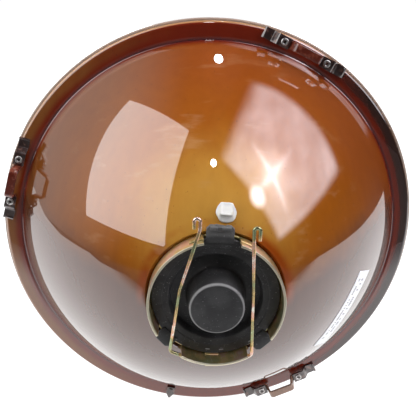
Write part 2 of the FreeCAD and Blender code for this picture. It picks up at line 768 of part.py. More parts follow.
def turned_placement(body, radius, azimuth):
    """Puts a body's local +Z along the radius at an azimuth, at that distance from the axis."""
    body.Placement = Placement(Vector(), Rotation(Vector(0, 1, 0), 90 - azimuth.value))
    bind(body, "Placement.Rotation.Angle", Dim(90.0, "90") - azimuth)
    bind(body, "Placement.Base.x", radius * cosine(azimuth))
    bind(body, "Placement.Base.z", radius * sine(azimuth))


def make_locating_tab():
    """A small pointed tab that stands on the band."""
    body = new_body("locating_tab")
    half = dims["tab_width"] / 2
    length = dims["tab_outer_radius"] - dims["tab_inner_radius"]
    shoulder = length - dims["tab_point"]
    top = dims["band_height"] + dims["tab_height"]
    sketch = new_sketch(body, "tab_plan", "XZ_Plane", top)
    add_outline(sketch, [(-half, ZERO), (half, ZERO), (half, shoulder), (ZERO, length), (-half, shoulder)])
    pad(body, "tab", sketch, dims["tab_height"])
    turned_placement(body, dims["tab_inner_radius"], dims["tab_azimuth"])
    return label(body, "locating_tab")


# ---- brackets -------------------------------------------------------------------------------


def drill(body, name, offset, depth):
    """A rivet hole along the height, at an offset from the bracket's middle."""
    sketch = new_sketch(body, name + "_plan", "XZ_Plane", dims["band_height"])
    add_circle(sketch, offset, ZERO, dims["strap_rivet_radius"])
    pocket(body, name, sketch, depth)


def make_strap(which):
    """The lacquered bridge: a crosspiece on two legs, with a flange at each end."""
    body = new_body("strap_" + which)
    thick = dims["strap_thickness"]
    top = dims["strap_top"]
    span = dims["strap_half_span"]
    flange_top = dims["ledge_top"] - dims["clip_thickness"]
    foot = span + dims["leg_lean"]
    end = dims["strap_flange_end"]
    sketch = new_sketch(body, "strap_side", "XY_Plane")
    add_outline(sketch, [
        (-end, flange_top - thick), (-end, flange_top), (-foot, flange_top), (-span, top),
        (span, top), (foot, flange_top), (end, flange_top), (end, flange_top - thick),
        (foot - thick, flange_top - thick), (span - thick, top - thick),
        (thick - span, top - thick), (thick - foot, flange_top - thick),
    ])
    pad(body, "strap_pad", sketch, dims["strap_width"], symmetric=True)
    for name, offset in (("hole_a", dims["strap_rivet_offset"]), ("hole_b", -dims["strap_rivet_offset"])):
        drill(body, name, offset, dims["ledge_top"])
    turned_placement(body, dims["bracket_radius"], dims["bracket_%s_azimuth" % which])
    return label(body, "strap_" + which)


def make_end_clip(which, side, sign):
    """A Z-bent clip: foot on the band, slope, and a ledge over the strap's flange."""
    body = new_body("clip_%s_%s" % (which, side))
    thick = dims["clip_thickness"]
    band = dims["band_height"]
    ledge = dims["ledge_top"]
    corners = [
        (dims["foot_outer"], band), (dims["foot_outer"], band + thick), (dims["foot_inner"], band + thick),
        (dims["ledge_outer"], ledge), (dims["ledge_inner"], ledge), (dims["ledge_inner"], ledge - thick),
        (dims["ledge_outer"] - thick * 0.5, ledge - thick), (dims["foot_inner"] - thick * 0.5, band),
    ]
    sketch = new_sketch(body, "clip_side", "XY_Plane")
    add_outline(sketch, [(x * sign, y) for x, y in corners])
    pad(body, "clip_pad", sketch, dims["clip_width"], symmetric=True)
    drill(body, "clip_hole", dims["strap_rivet_offset"] * sign, dims["ledge_top"])
    turned_placement(body, dims["bracket_radius"], dims["bracket_%s_azimuth" % which])
    return label(body, "end_clip_%s_%s" % (which, side))


def make_bracket_rivets(which):
    """Two tubular rivets, with a head on the ledge and a tail under the strap's flange."""
    azimuth = dims["bracket_%s_azimuth" % which]
    radius = dims["bracket_radius"]
    tail = dims["rivet_tail"]
    flange = dims["ledge_top"] - dims["clip_thickness"] - dims["strap_thickness"]
    start = flange - tail
    rivets = []
    for i, sign in enumerate((1, -1)):
        name = "rivet_%s_%d" % (which, i + 1)
        offset = dims["strap_rivet_offset"] * sign
        x = radius * cosine(azimuth) + offset * sine(azimuth)
        z = radius * sine(azimuth) - offset * cosine(azimuth)
        length = dims["ledge_top"] - start
        bore_start = start + dims["rivet_bore_floor"]
        head_height = dims["rivet_head_height"]
        shank = cylinder(name + "_shank", dims["strap_rivet_radius"], length, x, start, z)
        foot = cylinder(name + "_foot", dims["rivet_tail_radius"], tail, x, start, z)
        head = cylinder(name + "_head", dims["rivet_head_radius"], head_height, x, dims["ledge_top"], z)
        solid = fuse(name + "_solid", [shank, foot, head])
        bore = cylinder(name + "_bore", dims["rivet_bore_radius"], length, x, bore_start, z)
        rivets.append(cut(name, solid, bore))
    group = doc.addObject("Part::Compound", "rivets_" + which)
    group.Links = rivets
    return label(group, "bracket_rivets_" + which)


# ---- build, check and write -----------------------------------------------------------------


def build():
    make_lens()
    make_lens_seal()
    make_reflector()
    make_bulb_collar()
    make_collar_rivets()
    make_bail_wire()
    make_dust_plug()
    make_vent_plug()
    make_label()
    make_locating_tab()
    for which in BRACKETS:
        make_strap(which)
        make_end_clip(which, "a", 1)
        make_end_clip(which, "b", -1)
        make_bracket_rivets(which)
    doc.recompute()


def check():
    for obj in doc.Objects:
        bad = [word for word in obj.State if word in ("Invalid", "Error")]
        if bad:
            raise RuntimeError("%s (%s) is %s" % (obj.Name, obj.Label, ", ".join(bad)))
    for obj in parts:
        if obj.Shape.isNull() or not obj.Shape.isValid() or not obj.Shape.Solids:
            raise RuntimeError("%s has no valid solid" % obj.Label)


def write():
    os.makedirs("parts", exist_ok=True)
    for obj in parts:
        obj.Shape.exportStep(os.path.join("parts", obj.Label + ".step"))
        box = obj.Shape.BoundBox
        print("%-22s solids %d  volume %9.2f mm3  x %.1f..%.1f  y %.1f..%.1f  z %.1f..%.1f" % (
            obj.Label, len(obj.Shape.Solids), obj.Shape.Volume,
            box.XMin, box.XMax, box.YMin, box.YMax, box.ZMin, box.ZMax))


build()
check()
write()
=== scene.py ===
"""A round vehicle headlamp unit seen from behind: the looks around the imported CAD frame.

Everything is in metres in the CAD frame: +Z is up, +Y runs along the optical axis towards the bulb
opening, and the glass faces -Y. Sizes in the classes are in millimetres unless a name says otherwise.
"""

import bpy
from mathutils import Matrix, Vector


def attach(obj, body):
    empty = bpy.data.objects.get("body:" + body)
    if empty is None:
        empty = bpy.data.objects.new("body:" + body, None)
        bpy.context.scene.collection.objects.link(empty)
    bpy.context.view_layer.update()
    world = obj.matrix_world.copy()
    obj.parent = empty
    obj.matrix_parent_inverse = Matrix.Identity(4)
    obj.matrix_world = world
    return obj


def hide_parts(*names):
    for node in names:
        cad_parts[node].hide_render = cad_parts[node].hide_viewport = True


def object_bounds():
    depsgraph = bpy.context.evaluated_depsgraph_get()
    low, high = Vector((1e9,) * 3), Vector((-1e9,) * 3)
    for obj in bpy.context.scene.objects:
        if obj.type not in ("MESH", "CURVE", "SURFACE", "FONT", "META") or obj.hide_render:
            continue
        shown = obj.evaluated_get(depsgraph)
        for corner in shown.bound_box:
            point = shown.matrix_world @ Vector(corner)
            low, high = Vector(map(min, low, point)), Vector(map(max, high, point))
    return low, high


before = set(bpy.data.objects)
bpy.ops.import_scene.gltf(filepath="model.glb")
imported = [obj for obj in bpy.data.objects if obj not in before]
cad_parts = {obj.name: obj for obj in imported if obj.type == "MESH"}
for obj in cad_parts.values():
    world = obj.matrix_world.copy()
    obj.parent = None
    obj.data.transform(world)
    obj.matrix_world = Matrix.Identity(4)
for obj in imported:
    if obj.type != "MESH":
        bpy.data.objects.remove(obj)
CAD_BOX = [list(corner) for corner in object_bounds()]

import logging
import math
from dataclasses import dataclass, field
from enum import Enum
from typing import Iterable, NamedTuple, Sequence, Union

import bmesh
import bpy
from mathutils import Matrix, Vector, noise

MM = 0.001
MERGE_DISTANCE = 1e-7
ON_AXIS = 1e-6
SHEET_ANGLE = 50.0
LOG = logging.getLogger("headlamp")

Colour = tuple[float, float, float]
Pair = tuple[float, float]
Outline = tuple[Pair, ...]
Operand = Union["Value", float]


class Body(str, Enum):
    """The bodies that move on their own."""

    LAMP = "lamp"
    BAIL = "bail"
    PLUG = "plug"


class Slot(str, Enum):
    """The material slots' names."""

    GLASS = "lens_glass"
    SEAL = "seal_grey"
    LACQUER = "lacquered_steel"
    ZINC = "yellow_zinc"
    ZINC_WIRE = "yellow_zinc_wire"
    BRIGHT = "bright_steel"
    DARK = "dark_steel"
    MILKY = "white_plastic"
    PAPER = "label_paper"
    BLACK = "black_plastic"


# ---- node graphs ----------------------------------------------------------------------------


class Value:
    """One output of a node, which Python's arithmetic can use."""

    def __init__(self, graph: "Graph", socket: bpy.types.NodeSocket) -> None:
        """Wraps a socket of a graph."""
        self.graph = graph
        self.socket = socket

    def maths(self, operation: str, *others: Operand, clamp: bool = False) -> "Value":
        """Adds a Math node that takes this value first.

        Args:
            operation: the Math node's operation.
            others: the values that follow this one.
            clamp: whether the result is kept between 0 and 1.

        Returns:
            The node's result.
        """
        settings = {"operation": operation, "use_clamp": clamp}
        return self.graph.node("ShaderNodeMath", settings, dict(enumerate((self, *others))))

    def __add__(self, other: Operand) -> "Value":
        """Sum."""
        return self.maths("ADD", other)

    __radd__ = __add__

    def __sub__(self, other: Operand) -> "Value":
        """Difference."""
        return self.maths("SUBTRACT", other)

    def __rsub__(self, other: Operand) -> "Value":
        """Difference the other way round."""
        return self * -1.0 + other

    def __mul__(self, other: Operand) -> "Value":
        """Product."""
        return self.maths("MULTIPLY", other)

    __rmul__ = __mul__

    def __truediv__(self, other: Operand) -> "Value":
        """Quotient."""
        return self.maths("DIVIDE", other)

    def __rtruediv__(self, other: Operand) -> "Value":
        """Quotient the other way round."""
        return self ** -1.0 * other

    def __pow__(self, other: Operand) -> "Value":
        """Power."""
        return self.maths("POWER", other)

    def __abs__(self) -> "Value":
        """Size without its sign."""
        return self.maths("ABSOLUTE")

    def clamped(self) -> "Value":
        """The value kept between 0 and 1."""
        return self.maths("ADD", 0.0, clamp=True)

    def ramp(self, low: float, high: float) -> "Value":
        """0 at low, 1 at high, and smooth between them."""
        settings = {"interpolation_type": "SMOOTHSTEP"}
        return self.graph.node("ShaderNodeMapRange", settings, {0: self, 1: low, 2: high})


class Graph:
    """A node tree that is filled from Python."""

    def __init__(self, tree: bpy.types.NodeTree) -> None:
        """Empties the tree and keeps it."""
        self.tree = tree
        tree.nodes.clear()

    def node(self, kind: str, settings: dict | None = None, inputs: dict | None = None,
             output: int | str = 0) -> Value:
        """Adds one node.

        Args:
            kind: the node's type.
            settings: its own settings, set first. "stops" fills a colour ramp.
            inputs: a value or a link for each socket, by index or name.
            output: the output that is wanted, by index or name.

        Returns:
            That output.
        """
        made = self.tree.nodes.new(kind)
        for name, setting in (settings or {}).items():
            if name == "stops":
                self.fill_ramp(made.color_ramp, setting)
            else:
                setattr(made, name, setting)
        for name, given in (inputs or {}).items():
            if isinstance(given, Value):
                self.tree.links.new(given.socket, made.inputs[name])
            else:
                made.inputs[name].default_value = given
        return Value(self, made.outputs[output]) if len(made.outputs) else Value(self, None)

    @staticmethod
    def fill_ramp(ramp: bpy.types.ColorRamp, stops: Sequence[tuple[float, Colour]]) -> None:
        """Gives a colour ramp its stops.

        Args:
            ramp: the ramp, with the two stops that it starts with.
            stops: a place from 0 to 1 and a colour for each.
        """
        while len(ramp.elements) < len(stops):
            ramp.elements.new(0.5)
        for element, (place, colour) in zip(ramp.elements, stops):
            element.position = place
            element.color = (*colour, 1.0)


class Look(Graph):
    """A material that is built from expressions."""

    def __init__(self, name: str) -> None:
        """Makes an empty material.

        Args:
            name: the material's name.
        """
        self.material = bpy.data.materials.new(name)
        self.material.use_nodes = True
        super().__init__(self.material.node_tree)
        self.place = self.node("ShaderNodeTexCoord", output="Object")

    def axes(self) -> tuple[Value, Value, Value]:
        """Reads the object's own coordinates.

        Returns:
            X, Y and Z in millimetres.
        """
        in_mm = self.node("ShaderNodeVectorMath", {"operation": "SCALE"}, {0: self.place, 3: 1 / MM})
        x, y, z = (self.node("ShaderNodeSeparateXYZ", {}, {0: in_mm}, output=i) for i in range(3))
        return x, y, z

    def mottle(self, size: float, detail: float = 3.0, stretch: Colour = (1.0, 1.0, 1.0),
               seed: float = 0.0) -> Value:
        """Cloudy noise.

        Args:
            size: the clouds' size in millimetres.
            detail: how many finer layers they have.
            stretch: how much finer they are along each axis.
            seed: moves the pattern.

        Returns:
            A value round 0.5.
        """
        scale = Vector(stretch) / (size * MM)
        moved = self.node("ShaderNodeMapping", {}, {"Vector": self.place, "Scale": scale,
                                                    "Location": (seed, seed, seed)})
        return self.node("ShaderNodeTexNoise", {}, {"Vector": moved, "Scale": 1.0, "Detail": detail})

    def blend(self, factor: Operand, first: Value | Colour, second: Value | Colour,
              how: str = "MIX") -> Value:
        """Mixes two colours.

        Args:
            factor: 0 for the first, 1 for the second.
            first: a colour or a link.
            second: a colour or a link.
            how: the Mix node's blend type.

        Returns:
            The mixed colour.
        """
        given = [c if isinstance(c, Value) else (*c, 1.0) for c in (first, second)]
        settings = {"data_type": "RGBA", "blend_type": how}
        return self.node("ShaderNodeMix", settings, {0: factor, 6: given[0], 7: given[1]}, output=2)

    def bump(self, height: Value, distance: float, strength: float = 1.0) -> Value:
        """A normal from a height.

        Args:
            height: 0 to 1.
            distance: how high 1 is, in millimetres.
            strength: how much of it shows.

        Returns:
            The bent normal.
        """
        return self.node("ShaderNodeBump", {}, {"Height": height, "Distance": distance * MM,
                                                "Strength": strength})

    def surface(self, **sockets: Value | float | Colour) -> bpy.types.Material:
        """Finishes the material with a Principled shader.

        Args:
            sockets: its inputs, with _ for a space in a name.

        Returns:
            The material.
        """
        inputs = {name.replace("_", " "): given for name, given in sockets.items()}
        shader = self.node("ShaderNodeBsdfPrincipled", {}, inputs)
        self.node("ShaderNodeOutputMaterial", {}, {"Surface": shader})
        return self.material


class Recipe(Graph):
    """A Geometry Nodes tree with named inputs."""

    def __init__(self, name: str) -> None:
        """Makes a tree with a geometry input and output.

        Args:
            name: the tree's name.
        """
        super().__init__(bpy.data.node_groups.new(name, "GeometryNodeTree"))
        self.tree.interface.new_socket("Geometry", in_out="INPUT", socket_type="NodeSocketGeometry")
        self.tree.interface.new_socket("Geometry", in_out="OUTPUT", socket_type="NodeSocketGeometry")
        self.sizes: dict[str, float] = {}

    def size(self, name: str, value: float) -> Value:
        """Adds a named input.

        Args:
            name: the input's name.
            value: its value in metres, or a plain factor.

        Returns:
            The input.
        """
        self.tree.interface.new_socket(name, in_out="INPUT", socket_type="NodeSocketFloat")
        self.sizes[name] = value
        return self.node("NodeGroupInput", {}, {}, output=name)

    def geometry(self) -> Value:
        """The geometry that comes in."""
        return self.node("NodeGroupInput", {}, {}, output="Geometry")

    def run(self, start: bpy.types.Object, result: Value, material: bpy.types.Material) -> bpy.types.Mesh:
        """Ends the tree, runs it on an object and bakes the result.

        Args:
            start: the object whose geometry comes in.
            result: the tree's last geometry.
            material: what the result is made of.

        Returns:
            A plain mesh.
        """
        real = self.node("GeometryNodeRealizeInstances", {}, {0: result})
        dressed = self.node("GeometryNodeSetMaterial", {}, {"Geometry": real, "Material": material})
        self.node("NodeGroupOutput", {}, {"Geometry": dressed})
        modifier = start.modifiers.new(self.tree.name, "NODES")
        modifier.node_group = self.tree
        for socket in self.tree.interface.items_tree:
            if socket.in_out == "INPUT" and socket.name in self.sizes:
                modifier[socket.identifier] = self.sizes[socket.name]
        mesh = baked(start)
        bpy.data.objects.remove(start)
        return mesh


# ---- meshes ---------------------------------------------------------------------------------


class Corner(NamedTuple):
    """A corner of an outline in millimetres, with the radius that rounds it."""

    across: float
    along: float
    bend: float = 0.0


def rounded(corners: Sequence[Corner], closed: bool = False, steps: int = 5) -> list[Vector]:
    """Rounds the corners of an outline with arcs.

    Args:
        corners: the corners, in order.
        closed: whether the last is joined to the first.
        steps: how many pieces each arc has.

    Returns:
        The outline's points as 3-D vectors (across, along, 0).
    """
    points = [Vector((c.across, c.along, 0.0)) for c in corners]
    return rounded_path(points, [c.bend for c in corners], closed, steps)


def rounded_path(points: Sequence[Vector], bends: Sequence[float], closed: bool = False,
                 steps: int = 5) -> list[Vector]:
    """Rounds the corners of a path in space with tangent arcs.

    Args:
        points: the corners, in order.
        bends: the radius that rounds each of them.
        closed: whether the last is joined to the first.
        steps: how many pieces each arc has.

    Returns:
        The path's points.
    """
    made: list[Vector] = []
    count = len(points)
    for i, (point, bend) in enumerate(zip(points, bends)):
        at_end = not closed and i in (0, count - 1)
        if bend <= 0 or at_end:
            made.append(point.copy())
            continue
        into = (point - points[i - 1]).normalized()
        out = (points[(i + 1) % count] - point).normalized()
        turn = into.angle(out)
        reach = bend * math.tan(turn / 2)
        start = point - into * reach
        sideways = (out - into * out.dot(into)).normalized()
        centre = start + sideways * bend
        for k in range(steps + 1):
            angle = turn * k / steps
            made.append(centre - sideways * (bend * math.cos(angle)) + into * (bend * math.sin(angle)))
    return made


def bare_mesh(name: str, points: Sequence[Vector], faces: Sequence[Sequence[int]]) -> bpy.types.Mesh:
    """Makes a mesh as given.

    Args:
        name: the mesh's name.
        points: its points in millimetres.
        faces: its faces.

    Returns:
        The mesh, in metres.
    """
    mesh = bpy.data.meshes.new(name)
    mesh.from_pydata([tuple(p * MM) for p in points], [], faces)
    return mesh


def facing_out(mesh: bpy.types.Mesh, merged: bool = False) -> bpy.types.Mesh:
    """Drops a mesh's loose points and turns its faces outwards.

    Args:
        mesh: the mesh, which is changed.
        merged: whether its doubles are merged first.

    Returns:
        The same mesh.
    """
    work = bmesh.new()
    work.from_mesh(mesh)
    if merged:
        bmesh.ops.remove_doubles(work, verts=work.verts, dist=MERGE_DISTANCE)
    loose = [v for v in work.verts if not v.link_faces]
    bmesh.ops.delete(work, geom=loose, context="VERTS")
    bmesh.ops.recalc_face_normals(work, faces=work.faces)
    work.to_mesh(mesh)
    work.free()
    return mesh


def mesh_from(name: str, points: Sequence[Vector], faces: Sequence[Sequence[int]]) -> bpy.types.Mesh:
    """A closed mesh in metres from points in millimetres, merged and facing out."""
    return facing_out(bare_mesh(name, points, faces), merged=True)


def turned(name: str, outline: Sequence[Vector], segments: int = 256) -> bpy.types.Mesh:
    """Turns a closed outline round the Y axis.

    Args:
        name: the mesh's name.
        outline: its (radius, height) points.
        segments: how many steps a turn has.

    Returns:
        The mesh.
    """
    points: list[Vector] = []
    rings: list[list[int]] = []
    for spot in outline:
        first = len(points)
        if spot.x < ON_AXIS:
            points.append(Vector((0.0, spot.y, 0.0)))
            rings.append([first] * segments)
            continue
        for k in range(segments):
            angle = math.tau * k / segments
            points.append(Vector((spot.x * math.cos(angle), spot.y, spot.x * math.sin(angle))))
        rings.append(list(range(first, first + segments)))
    faces = []
    for inner, outer in zip(rings, rings[1:] + rings[:1]):
        for k in range(segments):
            following = (k + 1) % segments
            face = [inner[k], outer[k], outer[following], inner[following]]
            face = [v for i, v in enumerate(face) if v != face[i - 1]]
            if len(face) > 2:
                faces.append(face)
    return mesh_from(name, points, faces)


def sheet_strip(name: str, path: Sequence[Vector], thickness: float, width: float) -> bpy.types.Mesh:
    """Bends a strip of sheet.

    Args:
        name: the mesh's name.
        path: (along, height) points up the middle of the sheet.
        thickness: the sheet's.
        width: the strip's, along Z.

    Returns:
        The mesh.
    """
    sides: list[tuple[Vector, Vector]] = []
    for i, point in enumerate(path):
        before = path[max(i - 1, 0)]
        after = path[min(i + 1, len(path) - 1)]
        along = (after - before).normalized()
        across = Vector((-along.y, along.x, 0.0))
        sides.append((point + across * thickness / 2, point - across * thickness / 2))
    points = []
    for upper, lower in sides:
        for z in (-width / 2, width / 2):
            points.append(Vector((upper.x, upper.y, z)))
            points.append(Vector((lower.x, lower.y, z)))
    faces = []
    for i in range(len(path) - 1):
        a = i * 4
        b = a + 4
        faces += [[a, b, b + 2, a + 2], [a + 1, a + 3, b + 3, b + 1],
                  [a, a + 1, b + 1, b], [a + 2, b + 2, b + 3, a + 3]]
    last = (len(path) - 1) * 4
    faces += [[0, 2, 3, 1], [last, last + 1, last + 3, last + 2]]
    return mesh_from(name, points, faces)


def plate(name: str, outline: Sequence[Vector], low: float, high: float) -> bpy.types.Mesh:
    """Cuts a flat plate.

    Args:
        name: the mesh's name.
        outline: its (x, z) points.
        low: the height of one face, along Y.
        high: the height of the other.

    Returns:
        The mesh.
    """
    count = len(outline)
    points = [Vector((p.x, low, p.y)) for p in outline] + [Vector((p.x, high, p.y)) for p in outline]
    faces: list[list[int]] = [list(range(count)), list(range(count, 2 * count))]
    for i in range(count):
        j = (i + 1) % count
        faces.append([i, j, count + j, count + i])
    return mesh_from(name, points, faces)


def baked(obj: bpy.types.Object) -> bpy.types.Mesh:
    """The object's mesh with its modifiers applied."""
    graph = bpy.context.evaluated_depsgraph_get()
    return bpy.data.meshes.new_from_object(obj.evaluated_get(graph))


def placed(name: str, mesh: bpy.types.Mesh | bpy.types.Curve) -> bpy.types.Object:
    """Shows a mesh.

    Args:
        name: the object's name.
        mesh: its mesh, or a curve.

    Returns:
        The object, at the origin.
    """
    obj = bpy.data.objects.new(name, mesh)
    bpy.context.scene.collection.objects.link(obj)
    return obj


def softened(mesh: bpy.types.Mesh, width: float, segments: int = 2, angle: float = 32.0) -> bpy.types.Mesh:
    """Rounds a mesh's hard edges.

    Args:
        mesh: the mesh, which is used up.
        width: the bevel's width in millimetres.
        segments: how many pieces the bevel has.
        angle: edges flatter than this many degrees stay.

    Returns:
        The rounded mesh.
    """
    obj = placed("softening", mesh)
    bevel = obj.modifiers.new("edges", "BEVEL")
    bevel.width = width * MM
    bevel.segments = segments
    bevel.limit_method = "ANGLE"
    bevel.angle_limit = math.radians(angle)
    made = baked(obj)
    bpy.data.objects.remove(obj)
    return made


def joined(name: str, meshes: Iterable[bpy.types.Mesh]) -> bpy.types.Mesh:
    """Joins meshes.

    Args:
        name: the new mesh's name.
        meshes: the meshes.

    Returns:
        One mesh that holds them all.
    """
    work = bmesh.new()
    for part in meshes:
        work.from_mesh(part)
    whole = bpy.data.meshes.new(name)
    work.to_mesh(whole)
    work.free()
    return whole


def moved(mesh: bpy.types.Mesh, matrix: Matrix) -> bpy.types.Mesh:
    """The same mesh, put in another place."""
    mesh.transform(matrix)
    return mesh


def round_axis(azimuth: float) -> Matrix:
    """A turn that carries local +X to the radius at an azimuth, about the optical axis."""
    return Matrix.Rotation(math.radians(-azimuth), 4, "Y")


def smooth(mesh: bpy.types.Mesh, angle: float = 38.0) -> bpy.types.Mesh:
    """Shades a mesh smoothly.

    Args:
        mesh: the mesh, which is changed.
        angle: edges sharper than this many degrees stay sharp.

    Returns:
        The same mesh.
    """
    mesh.shade_smooth()
    mesh.set_sharp_from_angle(angle=math.radians(angle))
    return mesh


def piece(name: str, mesh: bpy.types.Mesh, material: bpy.types.Material | None, body: Body,
          stands_for: Sequence[str]) -> bpy.types.Object:
    """Puts a finished mesh into the scene as a piece of the object.

    Args:
        name: the piece's name.
        mesh: its mesh, in place.
        material: what it is made of, or None where the mesh has its materials.
        body: the body that it rides on.
        stands_for: the CAD nodes that it replaces.

    Returns:
        The object.
    """
    if material is not None:
        mesh.materials.clear()
        mesh.materials.append(material)
    obj = placed(name, smooth(mesh))
    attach(obj, body.value)
    if stands_for:
        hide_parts(*stands_for)
    LOG.info("%s: %d faces on %s, stands for %s", name, len(mesh.polygons), body.value,
             ", ".join(stands_for))
    return obj


# ---- finishes -------------------------------------------------------------------------------


@dataclass(frozen=True)
class AmberLacquer:
    """Clear brown dipped lacquer over bright steel: amber where it is thin, maroon where it pools, with
    painted shade on the lower dome, round the collar's foot, on the +X shoulder and in the groove, and a
    painted highlight along the lip.

    Attributes:
        crown: the dome above the collar, where it is thinnest.
        flank: the dome round the crown.
        shoulder: the dome towards its edge.
        shoulder_left_shaded: the same on the +X side, darkened as painted shade.
        lower_dome_shade: painted shade on the lower dome, below a wavy line.
        neck_shade: painted shade round the collar's foot, broken into drip-like patches.
        pooled: the bend between dome and band, and the band.
        rim_plus_x: the band's edge on the +X side.
        rim_minus_x: the band's edge on the -X side.
        lip: a painted highlight along the turned lip, fainter on the -X side.
        groove_shade: painted shade in the groove between dome and band.
        haze: the pale cloudy patches on the upper dome.
        speck: the dust.
        lower_shade_from: the height at which the painted shade starts.
        lower_shade_full: the height at which it is complete.
        lower_shade_lift: how much it rises towards either side.
        cloud_shift: how far the clouds move the zones.
        run_shift: how far the runs move them.
    """

    name: str = "amber_lacquer"
    crown: Colour = (0.45, 0.225, 0.036)
    flank: Colour = (0.29, 0.084, 0.0035)
    shoulder: Colour = (0.22, 0.048, 0.0040)
    shoulder_left_shaded: Colour = (0.155, 0.043, 0.0040)
    lower_dome_shade: Colour = (0.085, 0.027, 0.012)
    neck_shade: Colour = (0.260, 0.048, 0.0020)
    pooled: Colour = (0.150, 0.0130, 0.0030)
    rim_plus_x: Colour = (0.190, 0.066, 0.015)
    rim_minus_x: Colour = (0.030, 0.014, 0.011)
    lip: Colour = (0.400, 0.200, 0.085)
    groove_shade: Colour = (0.045, 0.008, 0.012)
    haze: Colour = (0.42, 0.24, 0.12)
    speck: Colour = (0.055, 0.018, 0.008)
    lower_shade_from: float = 8.0
    lower_shade_full: float = -7.0
    lower_shade_lift: float = 0.22
    lower_shade_shift: float = 16.0
    crown_height: float = 24.0
    crown_radius: float = 10.0
    neck_radius: float = 28.5
    neck_fade: float = 3.0
    flank_radius: float = 36.0
    shoulder_radius: float = 77.5
    edge_radius: float = 80.6
    rim_radius: float = 83.4
    lip_radius: float = 87.1
    left_shade_side: Pair = (0.0, 45.0)
    minus_x_rim_ramp: Pair = (-66.0, -34.0)
    plus_x_rim_ramp: Pair = (8.0, 74.0)
    lip_highlight_side: Pair = (-66.0, -20.0)
    cloud_size: float = 26.0
    cloud_shift: float = 14.0
    run_size: float = 9.0
    run_shift: float = 5.0
    rim_shift: float = 30.0
    groove_shade_half: float = 0.9
    groove_shade_strength: float = 0.65
    haze_reach: float = 60.0
    haze_strength: float = 0.34
    speck_strength: float = 0.55

    def on_dome(self, look: Look, x: Value, z: Value, clouds: Value, uneven: Value) -> Value:
        """Paints the dome's zones.

        Args:
            look: the material.
            x: across, in millimetres.
            z: up, in millimetres.
            clouds: the large noise.
            uneven: how far noise moves the zones, in millimetres.

        Returns:
            The colour.
        """
        true_radius = (x * x + z * z) ** 0.5
        radius = true_radius + uneven
        warm = look.blend(self.from_crown(x, z, uneven).ramp(self.crown_radius, self.flank_radius),
                          self.crown, self.flank)
        # Painted shade: the shoulder is darker on the +X side.
        shoulder = look.blend(x.ramp(*self.left_shade_side), self.shoulder, self.shoulder_left_shaded)
        deep = look.blend(radius.ramp(self.flank_radius, self.shoulder_radius), warm, shoulder)
        # Painted shade: the lower dome turns dark brown below a wavy line that rises towards either side.
        shaded_below = look.blend(self.above_lower_shade(x, z, clouds), self.lower_dome_shade, deep)
        # Painted shade round the collar's foot, broken into patches by the clouds.
        foot = (radius * -0.25 + true_radius * -0.75 + self.neck_radius).ramp(0.0, self.neck_fade)
        neck_shade_patches = foot * clouds.ramp(0.44, 0.62) * (z + 6.0).ramp(0.0, 8.0)
        return look.blend(neck_shade_patches, shaded_below, self.neck_shade)

    def from_crown(self, x: Value, z: Value, uneven: Value) -> Value:
        """How far a place is from the thinnest spot."""
        above = z - self.crown_height
        return (x * x + above * above) ** 0.5 + uneven

    def above_lower_shade(self, x: Value, z: Value, clouds: Value) -> Value:
        """0 in the painted shade on the lower dome and 1 above it."""
        height = z - abs(x) * self.lower_shade_lift + (clouds - 0.5) * self.lower_shade_shift
        return height.ramp(self.lower_shade_full, self.lower_shade_from)

    def on_band(self, look: Look, dome: Value, x: Value, radius: Value, clouds: Value, runs: Value) -> Value:
        """Paints the bend, the band and the lip round the dome.

        Args:
            look: the material.
            dome: the dome's colour.
            x: across, in millimetres.
            radius: from the axis, in millimetres.
            clouds: the large noise.
            runs: the noise that follows the drips.

        Returns:
            The colour.
        """
        pooled = look.blend(radius.ramp(self.shoulder_radius + 1.2, self.edge_radius), dome, self.pooled)
        # The band's outer edge: nearly black far on the -X side, maroon in the middle, lighter on the +X
        # side.
        right = look.blend(x.ramp(*self.minus_x_rim_ramp), self.rim_minus_x, self.pooled)
        rim = look.blend((x + (runs - 0.5) * self.rim_shift).ramp(*self.plus_x_rim_ramp), right, self.rim_plus_x)
        wavy = radius + (clouds - 0.5) * 3.0
        outer = look.blend(wavy.ramp(self.rim_radius - 1.4, self.rim_radius + 1.6), pooled, rim)
        # Painted highlight along the turned lip, fainter on the -X side.
        edge = radius.ramp(self.lip_radius, self.lip_radius + 0.5) * (x.ramp(*self.lip_highlight_side) * 0.8 + 0.2)
        lip_highlighted = look.blend(edge, outer, self.lip)
        # Painted shade in the groove between dome and band.
        groove = (self.groove_shade_half - abs(radius - self.edge_radius - 0.3)).ramp(0.0, 0.8) * self.groove_shade_strength
        return look.blend(groove, lip_highlighted, self.groove_shade)

    def build(self) -> bpy.types.Material:
        """Makes the material.

        Returns:
            The material.
        """
        look = Look(self.name)
        x, _, z = look.axes()
        clouds = look.mottle(self.cloud_size, 4.0)
        runs = look.mottle(self.run_size, 3.0, (1.6, 1.0, 0.35), 7.3)
        uneven = (clouds - 0.5) * self.cloud_shift + (runs - 0.5) * self.run_shift
        dome = self.on_dome(look, x, z, clouds, uneven)
        whole = self.on_band(look, dome, x, (x * x + z * z) ** 0.5, clouds, runs)
        streaks = look.mottle(3.4, 2.0, (1.0, 1.0, 0.22), 3.1)
        thick = look.blend((streaks - 0.35).clamped() * 0.25, whole, self.shoulder, "MULTIPLY")
